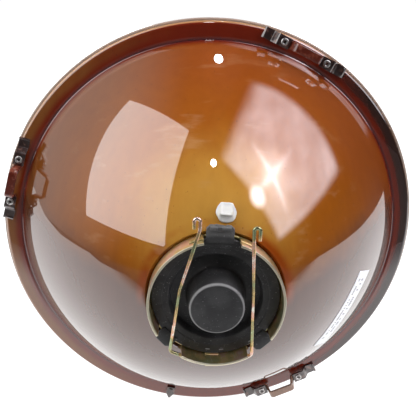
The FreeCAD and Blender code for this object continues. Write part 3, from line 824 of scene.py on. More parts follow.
        # Pale cloudy patches on the upper dome, kept above the painted shade of the lower dome.
        smears = look.mottle(7.0, 5.0, (0.35, 1.0, 1.5), 21.0).ramp(0.57, 0.74)
        high = (self.haze_reach - self.from_crown(x, z, uneven)).ramp(0.0, 24.0)
        pale_patches = smears * high * self.above_lower_shade(x, z, clouds) * self.haze_strength
        hazy = look.blend(pale_patches, thick, self.haze)
        specks = look.mottle(0.9, 1.0, seed=11.0).ramp(0.735, 0.79)
        dusty = look.blend(specks * self.speck_strength, hazy, self.speck)
        return look.surface(
            Base_Color=dusty, Metallic=0.12, Roughness=0.38 + (clouds - 0.5) * 0.16, Specular_IOR_Level=0.05,
            Coat_Weight=1.0, Coat_Roughness=0.016, Coat_IOR=1.9,
            Normal=look.bump(look.mottle(1.3, 2.0), 0.02, 0.35))


@dataclass(frozen=True)
class StrapLacquer:
    """The same lacquer, dipped thick over bent strip, with a painted reflection of the pale table that makes
    the lowest bracket paler towards the bottom.
    """

    name: str = "strap_lacquer"
    face: Colour = (0.090, 0.014, 0.007)
    thin: Colour = (0.21, 0.060, 0.036)
    worn_and_sheen: Colour = (0.30, 0.19, 0.135)
    table_sheen_below: float = -62.0
    table_sheen_fade: float = 8.0
    table_sheen: float = 0.8

    def build(self) -> bpy.types.Material:
        """Makes the material.

        Returns:
            The material.
        """
        look = Look(self.name)
        clouds = look.mottle(2.6, 3.0)
        grain = look.mottle(0.8, 2.0, seed=4.0)
        _, _, z = look.axes()
        brown = look.blend(clouds.ramp(0.46, 0.66), self.face, self.thin)
        # Painted reflection of the pale table below: the strap turns paler towards the bottom.
        rubbed_and_sheen = (z + clouds * 6.0).ramp(self.table_sheen_below + self.table_sheen_fade, self.table_sheen_below) * self.table_sheen
        return look.surface(
            Base_Color=look.blend(rubbed_and_sheen, brown, self.worn_and_sheen), Metallic=0.12, Roughness=0.3 + grain * 0.14,
            Specular_IOR_Level=0.05, Coat_Weight=1.0, Coat_Roughness=0.025, Coat_IOR=1.65,
            Normal=look.bump(grain, 0.03, 0.5))


@dataclass(frozen=True)
class DarkClipSteel:
    """Nearly black lacquer over a pressed clip, with bare brown patches."""

    name: str = "dark_clip"
    face: Colour = (0.030, 0.014, 0.012)
    rubbed_and_sheen: Colour = (0.17, 0.085, 0.065)

    def build(self) -> bpy.types.Material:
        """Makes the material.

        Returns:
            The material.
        """
        look = Look(self.name)
        patches = look.mottle(1.9, 4.0, seed=2.0)
        grain = look.mottle(0.6, 2.0, seed=9.0)
        return look.surface(
            Base_Color=look.blend(patches.ramp(0.52, 0.72), self.face, self.rubbed_and_sheen),
            Metallic=0.4, Roughness=0.26 + grain * 0.2, Coat_Weight=1.0, Coat_Roughness=0.035, Coat_IOR=1.85,
            Normal=look.bump(grain, 0.03, 0.5))


@dataclass(frozen=True)
class MirrorCoat:
    """Vacuum-aluminised inside of the reflector."""

    name: str = "aluminised"
    bright: Colour = (0.86, 0.87, 0.88)
    dull: Colour = (0.74, 0.75, 0.77)

    def build(self) -> bpy.types.Material:
        """Makes the material.

        Returns:
            The material.
        """
        look = Look(self.name)
        haze = look.mottle(18.0, 3.0)
        return look.surface(Base_Color=look.blend(haze, self.bright, self.dull), Metallic=1.0,
                            Roughness=0.045 + haze * 0.05)


@dataclass(frozen=True)
class FlutedGlass:
    """Pressed clear glass with a faint green tint."""

    name: str = "pressed_glass"
    clear: Colour = (0.93, 0.96, 0.945)
    tinted: Colour = (0.80, 0.87, 0.84)

    def build(self) -> bpy.types.Material:
        """Makes the material.

        Returns:
            The material.
        """
        look = Look(self.name)
        ripples = look.mottle(7.0, 2.0)
        return look.surface(Base_Color=look.blend(ripples, self.clear, self.tinted),
                            Roughness=0.02 + ripples * 0.02, IOR=1.52, Transmission_Weight=1.0,
                            Normal=look.bump(ripples, 0.05, 0.3))


@dataclass(frozen=True)
class GroundGlass:
    """The glass' unpolished outer edge, greyed by bonding compound and browned beside the lip."""

    name: str = "ground_edge"
    grey: Colour = (0.30, 0.285, 0.27)
    pale: Colour = (0.46, 0.44, 0.43)
    brown: Colour = (0.26, 0.155, 0.095)
    stain_end: float = -0.6
    stain_depth: float = 1.0

    def build(self) -> bpy.types.Material:
        """Makes the material.

        Returns:
            The material.
        """
        look = Look(self.name)
        _, y, _ = look.axes()
        smears = look.mottle(5.0, 4.0)
        grey = look.blend(smears.ramp(0.40, 0.66), self.grey, self.pale)
        stain = (y - self.stain_end).ramp(-self.stain_depth, self.stain_depth) * (smears + 0.35).clamped()
        return look.surface(Base_Color=look.blend(stain, grey, self.brown), Roughness=0.30 + smears * 0.25,
                            Coat_Weight=0.3, Coat_Roughness=0.15, Normal=look.bump(smears, 0.05, 0.5))


@dataclass(frozen=True)
class SealRubber:
    """Grey bonding compound."""

    name: str = "bonding_seal"
    light: Colour = (0.20, 0.20, 0.195)
    dark: Colour = (0.11, 0.11, 0.108)

    def build(self) -> bpy.types.Material:
        """Makes the material.

        Returns:
            The material.
        """
        look = Look(self.name)
        lumps = look.mottle(2.2, 4.0)
        return look.surface(Base_Color=look.blend(lumps, self.dark, self.light),
                            Roughness=0.62 + lumps * 0.2, Normal=look.bump(lumps, 0.15, 0.6))


@dataclass(frozen=True)
class PassivatedZinc:
    """Yellow passivated zinc, which shifts between olive, gold, pink and green.

    Attributes:
        band: the size of the bands of colour.
        follows_wire: whether the bands follow the wire's own length attribute.
        wave_share: how much of the banding the wire's length gives.
        pale_above: the height above which the sheet's top edge is coloured pale.
    """

    name: str = "yellow_zinc"
    olive: Colour = (0.43, 0.37, 0.17)
    gold: Colour = (0.66, 0.50, 0.22)
    rose: Colour = (0.70, 0.44, 0.34)
    green: Colour = (0.42, 0.47, 0.25)
    pale: Colour = (0.74, 0.70, 0.56)
    band: float = 7.0
    follows_wire: bool = False
    wave_share: float = 0.16
    roughness: float = 0.27
    pale_above: float = 67.35

    def build(self) -> bpy.types.Material:
        """Makes the material.

        Returns:
            The material.
        """
        look = Look(self.name)
        clouds = look.mottle(self.band, 3.0)
        fine = look.mottle(self.band * 0.22, 2.0, seed=5.0)
        mixed = clouds * 0.8 + fine * 0.2
        if self.follows_wire:
            along = look.node("ShaderNodeAttribute", {"attribute_name": "along"}, {}, output="Fac")
            mixed = mixed + (along * (1.0 / (self.band * MM))).maths("SINE") * self.wave_share
        stops = ((0.30, self.green), (0.42, self.olive), (0.52, self.gold), (0.62, self.rose),
                 (0.74, self.pale))
        hue = look.node("ShaderNodeValToRGB", {"stops": stops}, {0: mixed})
        scratches = look.mottle(0.5, 2.0, (1.0, 0.12, 1.0), 8.0)
        if not self.follows_wire:
            _, height, _ = look.axes()
            # The wall's top edge is coloured pale.
            pale_top_edge = height.ramp(self.pale_above, self.pale_above + 0.3) * 0.8
            hue = look.blend(pale_top_edge, hue, self.pale)
        return look.surface(
            Base_Color=look.blend(scratches.ramp(0.58, 0.75) * 0.5, hue, self.pale), Metallic=0.9,
            Roughness=self.roughness + scratches * 0.14, Normal=look.bump(scratches, 0.01, 0.5))


@dataclass(frozen=True)
class BrightZinc:
    """Bright zinc on small rivets, smudged and lightly scratched."""

    name: str = "bright_zinc"
    bright: Colour = (0.62, 0.61, 0.60)
    dull: Colour = (0.24, 0.21, 0.20)

    def build(self) -> bpy.types.Material:
        """Makes the material.

        Returns:
            The material.
        """
        look = Look(self.name)
        smudge = look.mottle(0.8, 3.0)
        return look.surface(Base_Color=look.blend(smudge.ramp(0.4, 0.7), self.bright, self.dull),
                            Metallic=1.0, Roughness=0.2 + smudge * 0.25)


@dataclass(frozen=True)
class BlackMoulding:
    """Satin black moulded plastic with dust, faint turning rings and painted highlights on the two nibs.

    Attributes:
        flange_edge: the flange's radius, past which the wide lug is scuffed.
        nib_reach: the radius inside which the nibs stand.
        turning_rings: the radius and strength of each bright ring.
    """

    name: str = "black_moulding"
    deep: Colour = (0.018, 0.018, 0.019)
    worn_and_sheen: Colour = (0.040, 0.040, 0.041)
    dust: Colour = (0.30, 0.30, 0.31)
    rubbed_and_sheen: Colour = (0.30, 0.30, 0.30)
    boss_edge: float = 8.85
    boss_top: float = 69.8
    flange_edge: float = 21.8
    flange_top: float = 62.0
    nib_reach: float = 20.9
    lug_scuffed_above: float = 15.0
    nibs_below: float = -15.0
    ring_half: float = 0.10
    turning_rings: tuple[Pair, ...] = ((16.7, 0.35), (17.3, 0.25), (19.6, 0.3))

    def build(self) -> bpy.types.Material:
        """Makes the material.

        Returns:
            The material.
        """
        look = Look(self.name)
        x, y, z = look.axes()
        radius = (x * x + z * z) ** 0.5
        rings = (radius * 9.0).maths("SINE") * 0.5 + 0.5
        clouds = look.mottle(6.0, 4.0)
        grain = look.mottle(0.22, 2.0)
        specks = look.mottle(0.55, 1.0, seed=6.0).ramp(0.70, 0.76)
        streaks = look.mottle(1.4, 3.0, (0.5, 1.0, 2.2), 13.0).ramp(0.60, 0.80)
        base = look.blend(clouds.ramp(0.35, 0.7), self.deep, self.worn_and_sheen)
        grey = look.blend(streaks * 0.12, base, self.dust)
        rim = (0.55 - abs(radius - self.boss_edge)).ramp(0.0, 0.45) * (y - self.boss_top).ramp(-1.3, -0.5)
        grey = look.blend(rim * 0.65, grey, self.rubbed_and_sheen)
        on_lug = (radius - self.flange_edge).ramp(0.3, 1.6) * (z - self.lug_scuffed_above).ramp(0.0, 4.0)
        # Painted highlight on the two nibs near the flange's edge.
        nib_highlight_area = (self.nibs_below - z).ramp(0.0, 2.0) * (self.nib_reach - radius).ramp(0.0, 0.2)
        nibs = (y - self.flange_top).ramp(0.06, 0.16) * nib_highlight_area
        grey = look.blend(on_lug * (0.12 + clouds * 0.2) + nibs * 0.8, grey, self.rubbed_and_sheen)
        for place, strength in self.turning_rings:
            line = (self.ring_half - abs(radius - place)).ramp(0.0, 0.08) * streaks.ramp(0.0, 0.5) * strength
            grey = look.blend(line, grey, self.rubbed_and_sheen)
        return look.surface(
            Base_Color=look.blend(specks * 0.5, grey, self.dust), Roughness=0.44 + clouds * 0.14,
            Normal=look.bump(grain * 0.6 + rings * 0.4, 0.02, 0.5))


@dataclass(frozen=True)
class MilkyPlastic:
    """White translucent polyethylene, bluish where it is thin and creamy on top.

    Attributes:
        seat_radius: how far from the axis the plug sits on the dome.
        scatter: how far light travels in it, in metres.
    """

    name: str = "milky_plastic"
    thin: Colour = (0.50, 0.55, 0.70)
    thick: Colour = (0.72, 0.72, 0.69)
    cream: Colour = (0.62, 0.58, 0.44)
    seat_radius: float = 29.7
    skirt_height: float = 0.2
    scatter: float = 0.0012

    def build(self) -> bpy.types.Material:
        """Makes the material.

        Returns:
            The material.
        """
        look = Look(self.name)
        _, y, _ = look.axes()
        clouds = look.mottle(1.6, 3.0)
        seat = Dome().height(self.seat_radius) + self.skirt_height
        body = look.blend((y - seat).ramp(-0.6, 1.4), self.thin, self.thick)
        return look.surface(
            Base_Color=look.blend(clouds.ramp(0.5, 0.75) * 0.5, body, self.cream),
            Roughness=0.36 + clouds * 0.15, Subsurface_Weight=0.35,
            Subsurface_Radius=(1.0, 1.0, 1.1), Subsurface_Scale=self.scatter,
            Normal=look.bump(clouds, 0.08, 0.6))


class MarkRow(NamedTuple):
    """A row of printed marks: its middle, half height, pitch and share of blank cells."""

    middle: float
    half: float
    pitch: float
    blank: float


@dataclass(frozen=True)
class PrintedPaper:
    """White coated paper with two rows of tiny generic marks, which spell nothing."""

    name: str = "printed_paper"
    paper: Colour = (0.92, 0.94, 0.98)
    fibre: Colour = (0.80, 0.83, 0.87)
    ink: Colour = (0.05, 0.06, 0.09)
    length: float = 35.4
    width: float = 7.5
    first_mark: float = 3.0
    end_blank: float = 3.5
    mark_half: float = 0.33
    soft: float = 0.03
    rows: tuple[MarkRow, ...] = (MarkRow(2.45, 0.62, 0.62, 0.36), MarkRow(4.75, 0.78, 0.837, 0.42))

    def marks(self, look: Look, order: int, along: Value, across: Value) -> Value:
        """Prints one row of marks.

        Args:
            look: the material.
            order: which row, from 0.
            along: along the strip, in millimetres.
            across: across the strip, in millimetres.

        Returns:
            1 where there is ink.
        """
        row = self.rows[order]
        cell = (along / row.pitch).maths("FLOOR")
        place = look.node("ShaderNodeCombineXYZ", {}, {0: cell, 1: float(order)})
        chance = look.node("ShaderNodeTexWhiteNoise", {"noise_dimensions": "2D"}, {"Vector": place})
        shown = chance.maths("GREATER_THAN", row.blank)
        height = row.half * (0.55 + 0.45 * chance)
        inside = (height - abs(across - row.middle)).ramp(-self.soft, self.soft)
        bar = (self.mark_half - abs((along / row.pitch).maths("FRACT") - 0.5)).ramp(-self.soft, self.soft)
        return shown * inside * bar

    def build(self) -> bpy.types.Material:
        """Makes the material.

        Returns:
            The material.
        """
        look = Look(self.name)
        flat = look.node("ShaderNodeUVMap", {"uv_map": "strip"}, {})
        along = look.node("ShaderNodeSeparateXYZ", {}, {0: flat}, output=0) * self.length
        across = look.node("ShaderNodeSeparateXYZ", {}, {0: flat}, output=1) * self.width
        margin = ((along - self.first_mark).ramp(0.0, 0.05)
                  * (self.length - self.end_blank - along).ramp(0.0, 0.05))
        upper, lower = (self.marks(look, order, along, across) for order in range(2))
        ink = upper.maths("MAXIMUM", lower) * margin
        fibres = look.mottle(0.5, 3.0)
        paper = look.blend(fibres * 0.25, self.paper, self.fibre)
        return look.surface(Base_Color=look.blend(ink * 0.8, paper, self.ink), Roughness=0.5,
                            Coat_Weight=0.25, Coat_Roughness=0.2, Normal=look.bump(fibres, 0.01, 0.5))


@dataclass(frozen=True)
class StudioPaint:
    """Plain pale paint for the studio, which may glow like a light table.

    Attributes:
        far_glow: how much more it glows far behind the lamp.
        near_end: where the glow stops in front, in metres.
        patchy: how light the darker patches are.
    """

    name: str
    tone: float
    glow: float = 0.0
    far_glow: float = 0.0
    far_start: float = 0.7
    far_end: float = 1.7
    near_end: float = 0.19
    near_depth: float = 0.07
    patchy: float = 0.97
    patch_size: float = 180.0

    def build(self) -> bpy.types.Material:
        """Makes the material.

        Returns:
            The material.
        """
        look = Look(self.name)
        patches = look.mottle(self.patch_size, 2.0)
        _, y, _ = look.axes()
        near_fade = (self.near_end - y * MM).ramp(0.0, self.near_depth)
        glow = ((y * -MM).ramp(self.far_start, self.far_end) * self.far_glow + self.glow) * near_fade
        seen = look.node("ShaderNodeLightPath", output="Is Camera Ray")
        light, dark = ((self.tone * share,) * 3 for share in (1.0, self.patchy))
        return look.surface(Base_Color=look.blend(patches, light, dark), Roughness=0.85,
                            Emission_Color=glow.maths("MAXIMUM", seen * self.glow), Emission_Strength=1.0)


# ---- the lamp's own shapes ------------------------------------------------------------------


@dataclass(frozen=True)
class Dome:
    """The reflector's paraboloid."""

    vertex: float = 66.55
    focal_length: float = 25.28
    top_radius: float = 24.3
    rim_radius: float = 79.5

    def height(self, radius: float) -> float:
        """The height at a radius."""
        return self.vertex - radius * radius / (4 * self.focal_length)

    def normal(self, radius: float) -> Vector:
        """The outward normal in the (radius, height) half plane."""
        return Vector((radius / (2 * self.focal_length), 1.0, 0.0)).normalized()

    def curve(self, offset: float, first: float, last: float, count: int) -> list[Vector]:
        """Follows the paraboloid outwards or inwards.

        Args:
            offset: how far the points stand off it, along its normal.
            first: the radius of the first point.
            last: the radius of the last.
            count: how many there are.

        Returns:
            (radius, height) points.
        """
        found = []
        for i in range(count):
            radius = first + (last - first) * i / (count - 1)
            found.append(Vector((radius, self.height(radius), 0.0)) + self.normal(radius) * offset)
        return found

    def point(self, x: float, z: float, offset: float = 0.0) -> Vector:
        """Finds the point of the dome behind a place.

        Args:
            x: the place, across.
            z: the place, up.
            offset: how far the point stands off the dome, along its normal.

        Returns:
            The point.
        """
        radius = math.hypot(x, z)
        out = self.normal(radius)
        lift = Vector((x / radius * out.x, out.y, z / radius * out.x)) * offset
        return Vector((x, self.height(radius), z)) + lift


@dataclass
class LensGlass:
    """The glass: a flange, a domed front and flutes pressed inside.

    Attributes:
        crown: the domed front's radius.
        depth: how far the front reaches, from the flange's rear face.
        inner: the hollow's radius.
        bar_pitch: the height of each row of flutes.
        row_shift: how far each row is set sideways, in pitches.
        ground_from: the radius that a face reaches where the glass is left unpolished.
        ground_front: the height in front of which it is clear all the same.
    """

    rim: float = 89.0
    flange: float = 4.2
    crown: float = 83.0
    depth: float = 35.0
    wall: float = 3.8
    inner: float = 80.5
    flute_pitch: float = 6.4
    flute_depth: float = 0.85
    bar_pitch: float = 23.0
    row_shift: float = 0.37
    smooth_edge: float = 3.5
    ground_from: float = 87.6
    ground_front: float = -3.9
    finish: FlutedGlass = field(default_factory=FlutedGlass)
    edge_finish: GroundGlass = field(default_factory=GroundGlass)

    def cap(self, edge: float, edge_height: float, top: float, count: int) -> list[Vector]:
        """Follows a spherical cap from its edge to its pole.

        Args:
            edge: the edge's radius.
            edge_height: the edge's height.
            top: the pole's height.
            count: how many steps there are.

        Returns:
            (radius, height) points.
        """
        rise = edge_height - top
        ball = (edge * edge + rise * rise) / (2 * rise)
        half = math.asin(edge / ball)
        middle = top + ball
        found = []
        for i in range(count + 1):
            angle = half * (1 - i / count)
            found.append(Vector((ball * math.sin(angle), middle - ball * math.cos(angle), 0.0)))
        return found

    def blank(self) -> bpy.types.Mesh:
        """Turns the plain pressing.

        Returns:
            The mesh, without flutes.
        """
        edge = rounded([Corner(self.inner, 0.0, 0.5), Corner(self.rim, 0.0, 0.7),
                        Corner(self.rim, -self.flange, 0.9), Corner(self.crown + 1.5, -self.flange, 1.2),
                        Corner(self.crown, -self.flange - 0.6)])
        front = self.cap(self.crown - 0.2, -self.flange - 0.9, -self.depth, 48)
        back = self.cap(self.inner, 0.0, self.wall - self.depth, 96)
        return turned("lens", edge[1:] + front + back[:0:-1], 384)

    def build(self) -> None:
        """Presses the flutes into the inner face and places the glass."""
        recipe = Recipe("lens_flutes")
        pitch = recipe.size("Flute Pitch", self.flute_pitch * MM)
        depth = recipe.size("Flute Depth", self.flute_depth * MM)
        bars = recipe.size("Bar Pitch", self.bar_pitch * MM)
        shell = recipe.geometry()
        spot = recipe.node("GeometryNodeInputPosition")
        x, y, z = (recipe.node("ShaderNodeSeparateXYZ", {}, {0: spot}, output=i) for i in range(3))
        out = (x * x + z * z) ** 0.5
        edge = self.crown * MM
        bulge = (edge * edge - out * out).maths("MAXIMUM", 0.0) / (edge * edge)
        front = -self.flange * MM - bulge * ((self.depth - self.flange) * MM)
        margin = ((self.inner - self.smooth_edge) * MM - out).ramp(0.0, 1.5 * MM)
        inside = (y - front).ramp(1.6 * MM, 2.4 * MM) * margin
        shift = (z / bars).maths("FLOOR") * self.row_shift
        wave = abs(((x / pitch + shift) * math.pi).maths("SINE"))
        step = abs(((z / bars) * math.pi).maths("SINE")) ** 0.25
        sink = inside * wave * depth * (0.35 + 0.65 * step)
        offset = recipe.node("ShaderNodeCombineXYZ", {}, {1: sink})
        pressed = recipe.node("GeometryNodeSetPosition", {}, {"Geometry": shell, "Offset": offset})
        material = self.finish.build()
        mesh = recipe.run(placed("lens_blank", self.blank()), pressed, material)
        mesh.materials.append(self.edge_finish.build())
        for face in mesh.polygons:
            corners = [mesh.vertices[i].co for i in face.vertices]
            reach = max(math.hypot(corner.x, corner.z) for corner in corners) / MM
            face.material_index = int(reach > self.ground_from and face.center.y > self.ground_front * MM)
        piece("lens_glass", mesh, None, Body.LAMP, ["lens"])


@dataclass
class BondingSeal:
    """The seal between the glass and the steel, kept from the CAD frame."""

    finish: SealRubber = field(default_factory=SealRubber)

    def build(self) -> None:
        """Dresses the CAD node."""
        dress_node("lens_seal", self.finish.build())


def dress_node(node: str, material: bpy.types.Material) -> None:
    """Gives a CAD node that stays a material of its own.

    Args:
        node: the node's name.
        material: what it is made of.
    """
    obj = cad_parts[node]
    for slot in obj.material_slots:
        slot.material = material
    LOG.info("%s: kept from the CAD frame", node)


@dataclass
class ReflectorShell:
    """The pressed steel shell: land, paraboloid, groove, flat band and turned lip.

    Attributes:
        land: the land's height.
        band: the flat band's height.
        groove: the radius of the bend between dome and band.
        lip_end: the height at which it ends.
        warp: how far the pressing is uneven.
        warp_margin: where the waves end inside the dome's edge.
    """

    dome: Dome = field(default_factory=Dome)
    sheet: float = 0.8
    hole: float = 18.9
    land_radius: float = 23.15
    land: float = 59.4
    band: float = 2.3
    groove: float = 81.1
    lip: float = 87.9
    lip_bend: float = 1.4
    lip_end: float = 0.15
    hole_bevel: float = 0.25
    warp: float = 0.035
    warp_size: float = 34.0
    warp_margin: tuple[float, float] = (4.0, 2.0)
    segments: int = 288
    outside: AmberLacquer = field(default_factory=AmberLacquer)
    inside: MirrorCoat = field(default_factory=MirrorCoat)

    def outer_side(self) -> list[Vector]:
        """Follows the lacquered side, from the bulb hole to the end of the lip.

        Returns:
            (radius, height) points.
        """
        crest = self.dome.height(self.dome.top_radius)
        start = rounded([Corner(self.hole, self.land), Corner(self.land_radius, self.land, 0.3),
                         Corner(self.land_radius + 0.15, crest - 0.75, 0.3),
                         Corner(self.dome.top_radius - 0.2, crest + 0.02)])
        flank = self.dome.curve(0.0, self.dome.top_radius + 0.3, self.dome.rim_radius, 84)
        end = rounded([Corner(flank[-1].x, flank[-1].y), Corner(self.groove - 0.5, self.band - 0.25, 0.6),
                       Corner(self.groove + 0.9, self.band, 0.8),
                       Corner(self.lip, self.band, self.lip_bend), Corner(self.lip, self.lip_end)], steps=7)
        return start + flank + end[1:]

    def inner_side(self) -> list[Vector]:
        """Follows the aluminised side, from the end of the lip back to the bulb hole.

        Returns:
            (radius, height) points.
        """
        t = self.sheet
        rim = self.dome.rim_radius
        edge = rounded([Corner(self.lip - t, self.lip_end),
                        Corner(self.lip - t, self.band - t, self.lip_bend - t),
                        Corner(self.groove + 0.7, self.band - t, 0.8),
                        Corner(self.groove - 0.9, self.band - t - 0.25, 0.6),
                        Corner(rim - 0.72, self.dome.height(rim) - 0.42)], steps=7)
        flank = self.dome.curve(-t, rim - 0.3, self.dome.top_radius + 0.8, 84)
        foot = flank[-1].x
        start = rounded([Corner(foot - 0.35, self.land - t + 0.35), Corner(foot - 0.9, self.land - t, 0.2),
                         Corner(self.hole + self.hole_bevel, self.land - t)])
        return edge + flank[1:] + start

    def warp_dome(self, mesh: bpy.types.Mesh) -> None:
        """Makes the dome faintly uneven, but not at its edges.

        Args:
            mesh: the shell, which is changed.
        """
        inner = self.dome.top_radius + self.warp_margin[0]
        outer = self.dome.rim_radius - self.warp_margin[1]
        for vertex in mesh.vertices:
            radius = math.hypot(vertex.co.x, vertex.co.z) / MM
            if inner < radius < outer:
                fade = min(1.0, (radius - inner) / 8, (outer - radius) / 6)
                wave = noise.noise(vertex.co / (self.warp_size * MM))
                vertex.co.y += wave * self.warp * MM * fade

    def build(self) -> None:
        """Turns the shell, gives each side its finish and warps it."""
        mesh = turned("reflector", self.outer_side() + self.inner_side(), self.segments)
        mesh.materials.append(self.outside.build())
        mesh.materials.append(self.inside.build())
        for face in mesh.polygons:
            out = Vector((face.center.x, 0.0, face.center.z)).normalized()
            faces_lip = face.normal.dot(out) > 0.3 and face.normal.y > -0.6
            face.material_index = 0 if face.normal.y > 0.05 or faces_lip else 1
        self.warp_dome(mesh)
        piece("reflector_shell", mesh, None, Body.LAMP, ["reflector"])


class Span(NamedTuple):
    """A stretch of the collar's wall that is cut away: azimuths and heights."""

    first: float
    last: float
    low: float
    high: float

    def holds(self, azimuth: float, height: float) -> bool:
        """Whether a place lies in the stretch."""
        return self.first < azimuth % 360 < self.last and self.low < height < self.high


@dataclass
class BulbCollar:
    """The riveted sheet collar with its notches, slits, hinge window and rolled tab.

    Attributes:
        middle: the radius of the sheet's middle.
        levels: the heights up the wall at which the sheet may be cut.
        slits: the slits beside two of them, and the hinge's window.
        tab_bend: the radius that it is rolled to.
        hinge: the height and drop of the bail's cross run.
    """

    wall: float = 0.8
    middle: float = 22.6
    floor_edge: float = 19.2
    floor: float = 59.8
    levels: tuple[float, ...] = (61.3, 62.05, 62.8, 63.5, 64.3, 64.85, 65.4, 66.3, 67.1, 67.8)
    step: float = 2.5
    notches: tuple[Span, ...] = (
        Span(78.8, 109.5, 60.5, 99.0), Span(301.4, 330.5, 60.5, 99.0), Span(215.0, 241.0, 60.5, 99.0))
    slits: tuple[Span, ...] = (
        Span(66.3, 78.8, 64.3, 65.4), Span(109.5, 122.0, 64.3, 65.4), Span(267.0, 279.0, 61.3, 62.8))
    tab_centre: float = 1.2
    tab_width: float = 4.4
    tab_sheet: float = 0.7
    hinge: tuple[float, float] = (64.0, -24.0)
    tab_bend: float = 1.02
    finish: PassivatedZinc = field(default_factory=PassivatedZinc)

    def columns(self) -> list[float]:
        """Spreads the sheet's columns: even steps and every cut's edges.

        Returns:
            Their azimuths.
        """
        found = {round(i * self.step, 3) for i in range(int(360 / self.step))}
        edges = {edge for cut in self.notches + self.slits for edge in (cut.first, cut.last)}
        kept = {a for a in found if all(abs(a - e) > self.step / 3 for e in edges)}
        return sorted(kept | edges)

    def rows(self) -> list[Vector]:
        """Follows the middle of the sheet over the floor and up the wall.

        Returns:
            (radius, height) points.
        """
        bend = rounded([Corner(self.floor_edge, self.floor), Corner(self.middle, self.floor, 1.0),
                        Corner(self.middle, self.levels[0])])
        return bend[:-1] + [Vector((self.middle, height, 0.0)) for height in self.levels]

    def wall_sheet(self) -> bpy.types.Mesh:
        """Makes the floor and wall with every cut left out.

        Returns:
            The mesh, thickened and with soft edges.
        """
        columns, rows = self.columns(), self.rows()
        points = []
        for azimuth in columns:
            a = math.radians(azimuth)
            points += [Vector((p.x * math.cos(a), p.y, p.x * math.sin(a))) for p in rows]
        faces = []
        for i, azimuth in enumerate(columns):
            following = columns[(i + 1) % len(columns)] + (360 if i == len(columns) - 1 else 0)
            middle = (azimuth + following) / 2
            for k in range(len(rows) - 1):
                height = (rows[k].y + rows[k + 1].y) / 2
                if any(cut.holds(middle, height) for cut in self.notches + self.slits):
                    continue
                a = i * len(rows) + k
                b = (i + 1) % len(columns) * len(rows) + k
                faces.append([a, b, b + 1, a + 1])
        obj = placed("collar_sheet", bare_mesh("collar_sheet", points, faces))
        thick = obj.modifiers.new("sheet", "SOLIDIFY")
        thick.thickness = self.wall * MM
        thick.offset = 0.0
        made = baked(obj)
        bpy.data.objects.remove(obj)
        return softened(facing_out(made), 0.16, 3, SHEET_ANGLE)

    def rolled_tab(self) -> bpy.types.Mesh:
        """Rolls the tab below the collar round the bail's cross run.

        Returns:
            The mesh, in place.
        """
        height, drop = self.hinge
        path = [Vector((drop + self.tab_bend, height + rise, 0.0)) for rise in (2.2, 0.4)]
        for k in range(15):
            angle = math.radians(-20.0 * k)
            spot = Vector((math.cos(angle), math.sin(angle), 0.0)) * self.tab_bend
            path.append(Vector((drop, height, 0.0)) + spot)
        strip = sheet_strip("rolled_tab", path, self.tab_sheet, self.tab_width)
        turn = Matrix(((0, 0, 1, self.tab_centre * MM), (0, 1, 0, 0), (1, 0, 0, 0), (0, 0, 0, 1)))
        return softened(facing_out(moved(strip, turn)), 0.14, 2, SHEET_ANGLE)

    def build(self) -> None:
        """Joins the wall and the tab, and dresses the rivets."""
        mesh = joined("bulb_collar", [self.wall_sheet(), self.rolled_tab()])
        piece("collar_sheet", mesh, self.finish.build(), Body.LAMP, ["bulb_collar"])
        dress_node("collar_rivets", BrightZinc("collar_rivet_zinc").build())


@dataclass
class BailWire:
    """The sprung wire that holds the bulb or plug, with a curl for a finger on each arm.

    Attributes:
        route: its corners (x, y, z) with the radius of each bend, from one curl to the other.
    """

    diameter: float = 1.2
    route: tuple[tuple[float, float, float, float], ...] = (
        (7.55, 69.9, 28.2, 0.0), (7.55, 69.9, 31.5, 0.95), (5.6, 69.9, 31.5, 0.95),
        (5.75, 69.8, 27.6, 5.0), (8.1, 69.1, 19.5, 5.0), (12.15, 67.0, 5.6, 5.0), (15.7, 64.3, -19.3, 1.5),
        (5.0, 64.0, -24.0, 5.0), (-3.0, 64.0, -24.0, 5.0), (-12.6, 64.2, -21.3, 1.5),
        (-12.0, 67.0, 3.6, 5.0), (-11.3, 69.2, 19.5, 5.0), (-11.05, 69.9, 28.4, 0.95),
        (-13.0, 69.9, 28.4, 0.95), (-13.0, 69.9, 24.2, 0.0))
    finish: PassivatedZinc = field(default_factory=lambda: PassivatedZinc(
        name="yellow_zinc_wire", olive=(0.34, 0.27, 0.13), gold=(0.62, 0.44, 0.20), rose=(0.68, 0.38, 0.29),
        green=(0.30, 0.34, 0.19), pale=(0.80, 0.76, 0.66), band=3.2, follows_wire=True, roughness=0.13))

    def build(self) -> None:
        """Sweeps the wire along its route with Geometry Nodes."""
        points = rounded_path([Vector(p[:3]) for p in self.route], [p[3] for p in self.route], steps=10)
        curve = bpy.data.curves.new("bail_route", "CURVE")
        curve.dimensions = "3D"
        spline = curve.splines.new("POLY")
        spline.points.add(len(points) - 1)
        for spot, point in zip(spline.points, points):
            spot.co = (*(point * MM), 1.0)
        recipe = Recipe("wire_along_route")
        radius = recipe.size("Wire Radius", self.diameter / 2 * MM)
        route = recipe.geometry()
        length = recipe.node("GeometryNodeSplineParameter", {}, {}, output="Length")
        named = recipe.node("GeometryNodeStoreNamedAttribute", {"data_type": "FLOAT", "domain": "POINT"}, {
            "Geometry": route, "Name": "along", "Value": length})
        ring = recipe.node("GeometryNodeCurvePrimitiveCircle", {}, {"Resolution": 24, "Radius": radius})
        swept = recipe.node("GeometryNodeCurveToMesh", {}, {"Curve": named, "Profile Curve": ring,
                                                            "Fill Caps": True})
        material = self.finish.build()
        mesh = recipe.run(placed("bail_route", curve), swept, material)
        piece("bail_wire_bent", softened(mesh, 0.15, 2, 60.0), material, Body.BAIL,
              ["bail_wire"])


